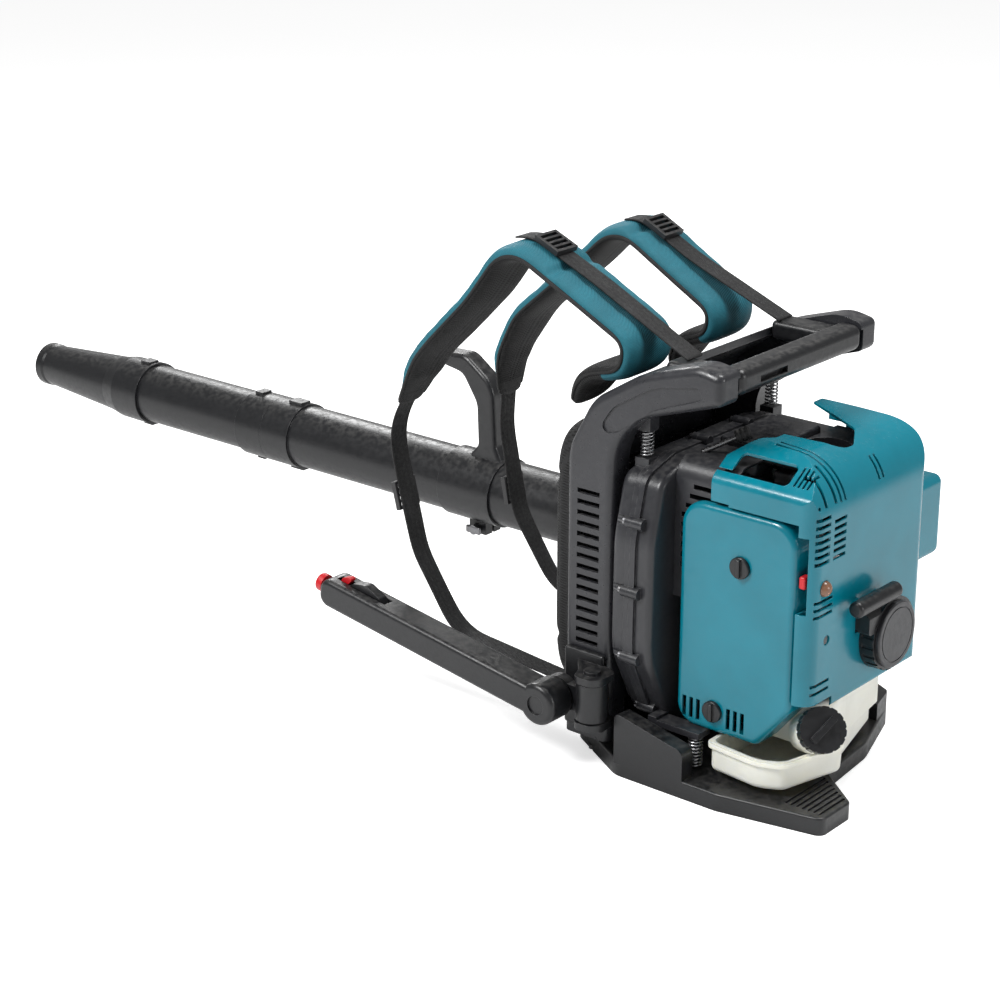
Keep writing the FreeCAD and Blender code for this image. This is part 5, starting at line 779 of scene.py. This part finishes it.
@dataclass(frozen=True)
class Puff:
    """How a sewn pad swells: cloth under pressure, held along its seams, then kept near its pattern."""

    pressure: float = 4.0
    frames: int = 20
    cap: float = 5.0
    slack: float = 0.035

    def swell(self, piece: bpy.types.Object, held: np.ndarray) -> None:
        """Runs the cloth and writes where it settles into the mesh.

        Args:
            piece: a closed mesh at the origin.
            held: how firmly each vertex is sewn down, from 0 to 1.
        """
        group = piece.vertex_groups.new(name="sewn")
        for weight in np.unique(held[held > 0]):
            group.add(np.flatnonzero(held == weight).tolist(), float(weight), "REPLACE")
        cloth = piece.modifiers.new("cloth", "CLOTH")
        settings = {"quality": 6, "mass": 0.2, "tension_stiffness": 12.0, "compression_stiffness": 12.0,
                    "bending_stiffness": 0.4, "vertex_group_mass": group.name, "use_pressure": True,
                    "uniform_pressure_force": self.pressure, "shrink_min": -self.slack}
        for name, value in settings.items():
            setattr(cloth.settings, name, value)
        cloth.settings.effector_weights.gravity = 0.0
        scene = bpy.context.scene
        for frame in range(1, self.frames + 1):
            scene.frame_set(frame)
        settled = piece.evaluated_get(bpy.context.evaluated_depsgraph_get()).data
        count = len(piece.data.vertices)
        before = np.zeros(count * 3, dtype=np.float32)
        after = np.zeros(count * 3, dtype=np.float32)
        piece.data.vertices.foreach_get("co", before)
        settled.vertices.foreach_get("co", after)
        moved = (after - before).reshape(-1, 3)
        far = np.linalg.norm(moved, axis=1, keepdims=True)
        moved *= np.minimum(1.0, self.cap * MM / np.maximum(far, 1e-9))
        piece.modifiers.remove(cloth)
        scene.frame_set(1)
        piece.data.vertices.foreach_set("co", (before.reshape(-1, 3) + moved).reshape(-1))
        piece.data.update()


@dataclass(frozen=True)
class ShoulderPad:
    """A padded strap: a crowned teal top, a mesh underside, piping on both edges, a bound front end."""

    name: str
    route: Route
    width: float = 80.0
    top: float = 12.5
    under: float = 8.5
    crest: float = 0.42
    tip_width: float = 34.0
    tip_length: float = 120.0
    rear_taper: float = 58.0
    front_taper: float = 4.0
    seam_drop: float = 1.5
    bed_width: float = 17.0
    bed_depth: float = 3.2
    bound: float = 22.0
    dark: float = 74.0
    piping: float = 2.0
    around: int = 64

    def section(self, s: np.ndarray, length: float) -> tuple[np.ndarray, np.ndarray, np.ndarray]:
        """Works out the pad's half width, top and underside along its length.

        Args:
            s: lengths along the pad (n,).
            length: its whole length.

        Returns:
            Half width, height above the seam and depth below it, each (n,).
        """
        rear = np.clip(s / self.rear_taper, 0.0, 1.0)
        front = np.clip((length - s) / self.front_taper, 0.0, 1.0)
        ends = np.sqrt(1 - (1 - rear) ** 2) * np.sqrt(1 - (1 - front) ** 2)
        narrow = np.clip((length - s) / self.tip_length, 0.0, 1.0) ** 0.75
        half = 0.5 * (self.tip_width + (self.width - self.tip_width) * narrow)
        thick = 0.3 + 0.7 * np.clip((length - s - self.bound) / 30.0, 0.0, 1.0)
        fold = 1 - 0.5 * bell(s, self.crest * length, 3.5) + 0.05 * bell(s, self.crest * length, 26.0)
        return half * (0.25 + 0.75 * ends), self.top * thick * fold * ends, self.under * thick * ends

    def rings(self, pitch: float) -> tuple[np.ndarray, np.ndarray, np.ndarray]:
        """Lays the pad's surface: each ring is a flattened oval across the strap, the top fuller.

        Args:
            pitch: ring spacing in millimetres.

        Returns:
            Rings (n, m, 3), their cloth places (n, m + 1, 2) and the lengths (n,).
        """
        s, points, tangent = self.route.sample(pitch)
        half, top, under = (v[:, None] for v in self.section(s, s[-1]))
        turn = np.linspace(0.0, 2 * math.pi, self.around, endpoint=False)[None, :]
        rise = bulge(np.sin(turn), 0.62)
        across = half * bulge(np.cos(turn), 0.6)
        lie = across / np.maximum(half, 1.0)
        pull = 0.5 * np.sin(s[:, None] * 0.19 + 2.2 * lie) * np.sin(s[:, None] * 0.063 + 0.8)
        laid = np.clip((self.crest * s[-1] - s[:, None]) / 20.0 + 1.0, 0.0, 1.0)
        laid *= np.clip((s[:, None] - 0.16 * s[-1]) / 20.0, 0.0, 1.0)
        pull -= self.bed_depth * laid * np.exp(-((across / self.bed_width) ** 4))
        pull += 0.5 * bell(s[:, None], self.crest * s[-1] - 12, 4.0) * np.cos(lie * 5.0)
        above = rise * (top + pull * np.minimum(rise * 2, 1))
        out = np.where(rise > 0, above, rise * (under - 0.3 * pull)) - self.seam_drop
        rings = in_plane(points, -across, out, tangent, self.route.middle)
        girth = np.linspace(0.0, 2 * (self.width + self.top), self.around + 1)
        return rings, cloth_places(s, girth), s

    def build(self, finishes: dict[str, bpy.types.Material]) -> list[bpy.types.Object]:
        """Makes the pad, its piping and its front binding.

        Args:
            finishes: materials by name.

        Returns:
            The pad first, then its trimmings.
        """
        rings, uv, s = self.rings(4.0)
        pad = loop_mesh(self.name, rings, uv, finishes["teal_fabric"])
        pad.data.materials.append(finishes["black_fabric"])
        pad.data.materials.append(finishes["binding"])
        self.dress(pad, s)
        Puff().swell(pad, self.sewn(s))
        smooth = pad.modifiers.new("smooth", "SUBSURF")
        smooth.levels = 1
        smooth.render_levels = 1
        keep = (s > 3.0) & (s < s[-1] - 3.0)
        quarter = self.around // 2
        seam = np.concatenate([rings[keep, 0], rings[keep, quarter][::-1]])
        loose = np.stack([np.convolve(np.pad(seam[:, i], 2, mode="wrap"), np.ones(5) / 5, mode="valid")
                          for i in range(3)], axis=1)
        piping = tube(self.name + "_piping", loose, self.piping, finishes["binding"], join=True)
        return [pad, piping]

    def sewn(self, s: np.ndarray) -> np.ndarray:
        """Says how firmly each vertex is held: both long seams, the ends, the fold and the webbing's bed.

        Args:
            s: the rings' lengths.

        Returns:
            Weights in vertex order, the two end points last.
        """
        column = np.arange(self.around)
        seam = (column == 0) | (column == self.around // 2)
        weight = np.zeros((len(s), self.around))
        weight[:, seam] = 1.0
        fold = np.abs(s - self.crest * s[-1]) < 3.0
        upper = column < self.around // 2
        weight[np.ix_(fold, upper)] = 1.0
        weight[(s < 8.0) | (s > s[-1] - self.bound), :] = 1.0
        bed = np.abs(column - self.around / 4) < 5.0
        rows = (s > 0.18 * s[-1]) & (s < self.crest * s[-1] + 8.0)
        weight[np.ix_(rows, bed)] = 1.0
        return np.concatenate([weight.reshape(-1), [1.0, 1.0]])

    def dress(self, pad: bpy.types.Object, s: np.ndarray) -> None:
        """Gives each face its cloth: teal above the seam, mesh below and at the rear, binding at the tip.

        Args:
            pad: the pad.
            s: the rings' lengths.
        """
        count = len(pad.data.polygons)
        kind = np.zeros(count, dtype=np.int32)
        quads = (len(s) - 1) * self.around
        column = np.arange(quads) % self.around
        ring = np.arange(quads) // self.around
        kind[:quads][(column >= self.around // 2) | (s[ring] < self.dark)] = 1
        kind[:quads][s[ring] > s[-1] - self.bound] = 2
        kind[quads:quads + self.around] = 1
        kind[quads + self.around:] = 2
        pad.data.polygons.foreach_set("material_index", kind)


@dataclass(frozen=True)
class Webbing:
    """A flat woven band along a route, a little thicker at its selvedges and gently waved."""

    name: str
    route: Route
    width: float = 27.0
    thick: float = 2.0
    twist: float = 3.0

    def build(self, finishes: dict[str, bpy.types.Material]) -> bpy.types.Object:
        """Makes the band: a rounded oblong section swept along the route.

        Args:
            finishes: materials by name.

        Returns:
            The band.
        """
        s, points, tangent = self.route.sample(4.0, 9.0)
        place = np.array([-1.0, -0.97, -0.9, -0.6, -0.3, 0.0, 0.3, 0.6, 0.9, 0.97, 1.0])
        edge = np.array([0.25, 0.5, 0.56, 0.5, 0.5, 0.5, 0.5, 0.5, 0.56, 0.5, 0.25])
        across = np.concatenate([place, place[::-1]])[None, :] * self.width / 2
        out = np.concatenate([edge, -edge[::-1]])[None, :] * self.thick
        free = np.sin(math.pi * s / s[-1])[:, None]
        lean = np.radians(self.twist) * free * np.sin(2 * math.pi * s / 210.0 + 0.6)[:, None]
        cup = 0.9 * free * (1 - (across / (self.width / 2)) ** 2) * np.sin(s / 37.0)[:, None]
        rings = in_plane(points, across, out + across * lean + cup, tangent, self.route.middle)
        girth = np.concatenate([place, place[::-1], place[:1]]) * self.width / 2
        return loop_mesh(self.name, rings, cloth_places(s, girth), finishes["webbing"])


@dataclass(frozen=True)
class Harness:
    """Both shoulder straps with their webbing. Routes are given as (y, z) in millimetres."""

    crest: int = 5
    sewn_in: float = 12.0
    front_face: float = 154.3
    left: Route = Route(((176.0, 384.0), (150.0, 430.0), (98.0, 440.0), (92.0, 474.0), (164.0, 510.0),
                         (258.0, 556.0), (312.0, 484.0), (398.0, 398.0), (438.0, 330.0)),
                        (0, 40, 17, 17, 200, 44, 200, 120, 0), -98.0)
    right: Route = Route(((178.0, 384.0), (160.0, 426.0), (118.0, 436.0), (112.0, 466.0), (172.0, 500.0),
                          (248.0, 544.0), (310.0, 484.0), (394.0, 412.0), (432.0, 350.0), (436.0, 296.0)),
                         (0, 40, 16, 16, 200, 44, 200, 100, 90, 0), 84.0)

    def upper(self, pad: Route, anchor: tuple[float, float]) -> Route:
        """The webbing from the pad's crest back to the frame's arch.

        Args:
            pad: the pad's route.
            anchor: where the webbing meets the arch, as (y, z).

        Returns:
            The webbing's route.
        """
        top = pad.corners[self.crest]
        rear = pad.corners[self.crest - 1]
        return Route(((top[0] + 6, top[1]), (top[0] - 16, top[1] + 4), (rear[0] - 8, rear[1] + 13), anchor),
                     (0, 30, 200, 0), pad.middle)

    def lower(self, pad: Route) -> Route:
        """The webbing from the pad's front end down to the frame's foot.

        Args:
            pad: the pad's route.

        Returns:
            The webbing's route.
        """
        tip = pad.corners[-1]
        back = pad.corners[-2]
        run = math.hypot(tip[0] - back[0], tip[1] - back[1])
        way = ((tip[0] - back[0]) / run, (tip[1] - back[1]) / run)
        inside = (tip[0] - way[0] * self.sewn_in, tip[1] - way[1] * self.sewn_in)
        return Route((inside, (tip[0] + way[0] * 40, tip[1] + way[1] * 40), (tip[0] - 18, 150.0),
                      (tip[0] - 80, 62.0), (self.front_face, 46.0)), (0, 80, 70, 60, 0), pad.middle)

    def build(self, finishes: dict[str, bpy.types.Material]) -> None:
        """Makes the straps and registers each piece on the frame.

        Args:
            finishes: materials by name.
        """
        for side, pad, anchor in (("left", self.left, (31.0, 461.5)), ("right", self.right, (40.0, 463.5))):
            cushion, piping = ShoulderPad(f"{side}_shoulder_cushion", pad).build(finishes)
            upper = Webbing(f"{side}_upper_webbing", self.upper(pad, anchor), twist=0.5).build(finishes)
            lower = Webbing(f"{side}_lower_webbing", self.lower(pad)).build(finishes)
            for piece in (cushion, piping, upper, lower):
                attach(piece, "frame")
            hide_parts(f"{side}_shoulder_pad")
            for band in (upper, lower):
                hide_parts("strap_webbing")
            log.info("strap %s built", side)


@dataclass(frozen=True)
class BackCushion:
    """The cushion against the wearer's back: crowned, with sewn channels across and a rounded rim."""

    left: float = -148.0
    right: float = 130.0
    low: float = 62.0
    high: float = 372.0
    back: float = 154.3
    front: float = 186.0
    channels: int = 4
    channel_depth: float = 9.0
    channel_half: float = 5.0
    edge_share: float = 0.16
    columns: int = 64
    rows: int = 84

    def build(self, finishes: dict[str, bpy.types.Material]) -> None:
        """Makes the cushion as rings that shrink from the rim to the middle of its face.

        Args:
            finishes: materials by name.
        """
        half = np.array([(self.right - self.left) / 2, (self.high - self.low) / 2])
        middle = np.array([(self.right + self.left) / 2, (self.high + self.low) / 2])
        turn = np.linspace(0.0, 2 * math.pi, 4 * self.columns, endpoint=False)[None, :]
        inward = np.linspace(1.0, 0.0, self.rows)[:, None]
        power = 0.24 + 0.5 * (1 - inward)
        x = middle[0] + half[0] * inward * bulge(np.cos(turn), power)
        z = middle[1] + half[1] * inward * bulge(np.sin(turn), power)
        depth = self.front - self.back
        edge = np.clip((1 - inward) / self.edge_share, 0.0, 1.0)
        crown = self.back + depth * (0.12 + 0.88 * np.sqrt(1 - (1 - edge) ** 2))
        pitch = (self.high - self.low) / (self.channels + 1)
        near = np.abs((z - self.low + pitch / 2) % pitch - pitch / 2)
        inside = (z > self.low + pitch / 2) & (z < self.high - pitch / 2)
        groove = np.where(inside, np.exp(-((near / self.channel_half) ** 2)), 0.0)
        face = crown - edge * (self.channel_depth * groove + 1.2 * np.cos(x * 0.05) ** 2)
        front = np.stack([x, face, z], axis=-1)
        rear = np.stack([x[:1], np.full_like(x[:1], self.back), z[:1]], axis=-1)
        centre = rear.mean(axis=1, keepdims=True)
        rings = np.concatenate([0.02 * (rear - centre) + centre, rear, front])
        flat = np.concatenate([rings[..., 0:1], rings[..., 2:3]], axis=-1)
        uv = np.concatenate([flat, flat[:, :1]], axis=1)
        cushion = loop_mesh("back_cushion", rings, uv, finishes["black_fabric"])
        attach(cushion, "frame")
        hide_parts("back_pad")


@dataclass(frozen=True)
class Springs:
    """A pair of compression springs between two bodies, closed flat at both ends."""

    name: str
    node: str
    below: str
    above: str
    places: tuple[tuple[float, float], ...]
    low: float
    high: float
    radius: float
    wire: float
    turns: int

    def build(self, finishes: dict[str, bpy.types.Material]) -> None:
        """Makes each helix, joins the pair into one object and hides the CAD springs.

        Args:
            finishes: materials by name.
        """
        made = []
        t = np.linspace(0.0, 1.0, self.turns * 26)
        ease = t + 0.6 / (2 * math.pi * self.turns) * np.sin(-2 * math.pi * t)
        height = self.low + self.wire + (self.high - self.low - 2 * self.wire) * ease
        turn = 2 * math.pi * self.turns * t
        for x, y in self.places:
            line = np.stack([x + self.radius * np.cos(turn), y + self.radius * np.sin(turn), height], axis=1)
            made.append(tube(self.name, line, self.wire, finishes["spring_steel"], sides=8))
        pair = join(made)
        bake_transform(pair)
        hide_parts(self.node)


@dataclass(frozen=True)
class Hose:
    """The ribbed hose: rounded ribs turned about the pipe's axis, in two halves."""

    x: float = 192.0
    z: float = 117.0
    start: float = 92.3
    cuff: float = 30.0
    end: float = 296.0
    ribs: int = 22
    split: int = 11
    root: float = 41.3
    crown: float = 46.0
    bore: float = 39.0
    bend_start: float = 125.0
    pivot: float = 200.0
    collar: float = 14.0
    around: int = 72

    def build(self, finishes: dict[str, bpy.types.Material]) -> None:
        """Makes both halves and hides the CAD hose.

        Args:
            finishes: materials by name.
        """
        first = self.start + self.cuff
        pitch = (self.end - first - self.collar) / self.ribs
        meet = first + self.split * pitch
        for name, lower, upper, a, b, bend in (
                ("hose_rear", self.start, meet, "engine", "hose", (self.bend_start, self.pivot)),
                ("hose_front", meet, self.end, "hose", "tube", (meet, self.end - self.collar))):
            y = np.linspace(lower, upper, int((upper - lower) / pitch * 12))
            wave = 0.5 - 0.5 * np.cos(2 * math.pi * (y - first) / pitch)
            rib = self.root + (self.crown - self.root) * wave ** 0.6
            rib = np.where(y < first, self.crown - 2.0 + 0.8 * bell(y, self.start + 6, 2.0), rib)
            rib = np.where(y > self.end - self.collar, self.crown - 3.0, rib)
            outer = np.stack([rib, y], axis=1)
            inner = np.stack([np.full(2, self.bore), np.array([upper, lower])], axis=1)
            profile = np.concatenate([outer, inner])
            turn = np.linspace(0.0, 2 * math.pi, self.around, endpoint=False)
            rings = np.stack([self.x + profile[:, :1] * np.cos(turn), profile[:, 1:] + 0 * turn,
                              self.z + profile[:, :1] * np.sin(turn)], axis=-1)
            girth = np.linspace(0, 2 * math.pi * 44, self.around + 1)
            uv = cloth_places(run_length(profile), girth)
            half = loop_mesh(name, rings, uv, finishes["black_rubber"], poles=False, join=True)
            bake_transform(half)
            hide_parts("flexible_pipe")


@dataclass(frozen=True)
class StayRod:
    """The bright wire stay over the fan housing, with a dark rubber mount at its upper end."""

    foot: tuple[float, float, float] = (-96.0, 20.0, 360.0)
    way: tuple[float, float, float] = (0.55, -0.72, 0.42)
    length: float = 45.0
    radius: float = 2.7

    def build(self, finishes: dict[str, bpy.types.Material]) -> None:
        """Makes the wire and its mount, which ride on the engine.

        Args:
            finishes: materials by name.
        """
        way = np.array(self.way) / np.linalg.norm(self.way)
        t = np.linspace(0.0, 1.0, 24)[:, None]
        line = np.array(self.foot) + t * self.length * way
        wire = tube("stay_wire", line, self.radius, finishes["spring_steel"], sides=12)
        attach(wire, "engine")
        tip = line[-1] - way * 6.0
        body = tip + np.linspace(0.0, 1.0, 16)[:, None] * way * 16.0
        swell = 6.5 + 1.5 * np.abs(np.sin(np.linspace(0.0, 3 * math.pi, 16)))
        mount = tube("stay_mount", body, swell, finishes["black_rubber"], sides=20)
        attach(mount, "engine")


@dataclass(frozen=True)
class StarterRope:
    """The length of rope between the starter's guide and its grip."""

    exit: tuple[float, float, float] = (-42.0, -157.0, 213.0)
    way: tuple[float, float, float] = (0.0, -math.sqrt(0.5), math.sqrt(0.5))
    inside: float = 3.0
    reach: float = 20.0
    radius: float = 2.0

    def build(self, finishes: dict[str, bpy.types.Material]) -> None:
        """Makes the rope as a straight run out of the guide and hides the CAD rope.

        Args:
            finishes: materials by name.
        """
        start = np.array(self.exit) - self.inside * np.array(self.way)
        end = np.array(self.exit) + self.reach * np.array(self.way)
        line = start + np.linspace(0.0, 1.0, 60)[:, None] * (end - start)
        rope = tube("starter_rope_run", line, self.radius, finishes["rope"], sides=12)
        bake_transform(rope)
        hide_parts("starter_rope")


def join(objects: list[bpy.types.Object]) -> bpy.types.Object:
    """Joins meshes into the first.

    Args:
        objects: the meshes.

    Returns:
        The joined object.
    """
    with bpy.context.temp_override(active_object=objects[0], selected_editable_objects=objects):
        bpy.ops.object.join()
    return objects[0]


@dataclass(frozen=True)
class Shell:
    """The CAD nodes that keep their solids, each with the finishes that its record slots name."""

    def dress(self, nodes: dict[str, bpy.types.Object], finishes: dict[str, bpy.types.Material]) -> None:
        """Assigns each node's materials by the name of its record slot.

        Args:
            nodes: CAD objects by node name.
            finishes: materials by name.
        """
        for node in nodes.values():
            for holder in node.material_slots:
                holder.material = finishes[holder.material.name.split(".")[0]]
        log.info("dressed %d nodes", len(nodes))


@dataclass(frozen=True)
class Studio:
    """The white sweep, the lamps and the camera."""

    eye: tuple[float, float, float] = (-2.069, -1.357, 1.178)
    way: tuple[float, float, float] = (0.7198, 0.6040, -0.3420)
    lens: float = 86.4
    floor_reach: float = 14.0
    floor_glow: float = 0.62
    sky_light: float = 0.32
    lamps: tuple[tuple[str, tuple[float, float, float], tuple[float, float, float], float, float], ...] = (
        ("key", (-1.9, 0.9, 2.3), (0.0, 0.1, 0.25), 0.9, 78.0),
        ("fill", (0.4, -2.9, 1.0), (0.0, 0.0, 0.2), 1.0, 22.0),
        ("top", (0.5, -0.4, 2.6), (0.0, 0.2, 0.2), 1.1, 46.0),
        ("rim", (1.8, 2.6, 1.6), (0.0, 0.5, 0.2), 1.0, 30.0),
    )

    def build(self) -> None:
        """Makes the stage, the lamps, the sky and the camera."""
        self.floor()
        for name, place, target, size, power in self.lamps:
            lamp = bpy.data.lights.new(name, "AREA")
            lamp.size = size
            lamp.energy = power
            holder = put(name, lamp)
            holder.location = place
            holder.rotation_euler = (Vector(target) - Vector(place)).to_track_quat("-Z", "Y").to_euler()
        self.sky()
        camera = bpy.data.cameras.new("camera")
        camera.lens = self.lens
        camera.sensor_width = 36.0
        camera.dof.use_dof = False
        camera.clip_end = 50.0
        holder = put("camera", camera)
        holder.location = self.eye
        holder.rotation_euler = Vector(self.way).to_track_quat("-Z", "Y").to_euler()
        bpy.context.scene.camera = holder
        bpy.context.scene.view_settings.view_transform = "Standard"

    def floor(self) -> None:
        """A wide pale floor that shows white, with a faint shadow."""
        material = bpy.data.materials.new("stage_white")
        material.use_nodes = True
        graph = Graph(material.node_tree)
        shader = next(n for n in material.node_tree.nodes if n.type == "BSDF_PRINCIPLED")
        place = graph.add("TexCoord").outputs["Object"]
        tone = graph.ramp(graph.noise(place, 0.8, 2.0), 0.3, 0.7, (0.88, 0.9))
        shown = graph.add("LightPath").outputs["Is Camera Ray"]
        grey = graph.add("CombineColor", {0: tone, 1: tone, 2: tone}).outputs[0]
        graph.feed(shader, {"Base Color": grey, "Roughness": 0.9, "Specular IOR Level": 0.0,
                            "Emission Color": WHITE,
                            "Emission Strength": graph.math("MULTIPLY", shown, self.floor_glow)})
        mesh = bpy.data.meshes.new("stage_floor")
        reach = self.floor_reach
        corners = [(-reach, -reach, 0), (reach, -reach, 0), (reach, reach, 0), (-reach, reach, 0)]
        mesh.from_pydata(corners, [], [(0, 1, 2, 3)])
        mesh.materials.append(material)
        floor = put("stage_floor", mesh)

    def sky(self) -> None:
        """Even light from all round, white where the camera looks at it."""
        world = bpy.data.worlds.new("sky")
        world.use_nodes = True
        graph = Graph(world.node_tree)
        lit = world.node_tree.nodes["Background"]
        shown = graph.add("LightPath").outputs["Is Camera Ray"]
        strength = graph.ramp(shown, 0.0, 1.0, (self.sky_light, 1.0), smooth=False)
        graph.feed(lit, {"Color": WHITE, "Strength": strength})
        bpy.context.scene.world = world


def main() -> None:
    """Builds the looks in order: finishes, frame nodes, soft goods, springs, hose, rope and stay, stage."""
    logging.basicConfig(level=logging.INFO)
    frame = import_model()
    groups = ShaderGroups()
    finishes = {f.name: f.build(groups) for f in PLASTICS + METALS + FABRICS}
    Shell().dress(frame["nodes"], finishes)
    Harness().build(finishes)
    BackCushion().build(finishes)
    Springs("foot_springs", "lower_springs", "frame", "engine", ((-141.0, -14.0), (118.0, -14.0)),
            20.3, 57.7, 7.2, 1.3, 9).build(finishes)
    Springs("arch_springs", "upper_springs", "engine", "frame", ((-126.0, 70.0), (108.0, 70.0)),
            352.3, 381.7, 6.5, 1.1, 7).build(finishes)
    Hose().build(finishes)
    StarterRope().build(finishes)
    StayRod().build(finishes)
    Studio().build()


if __name__ == "__main__":
    main()
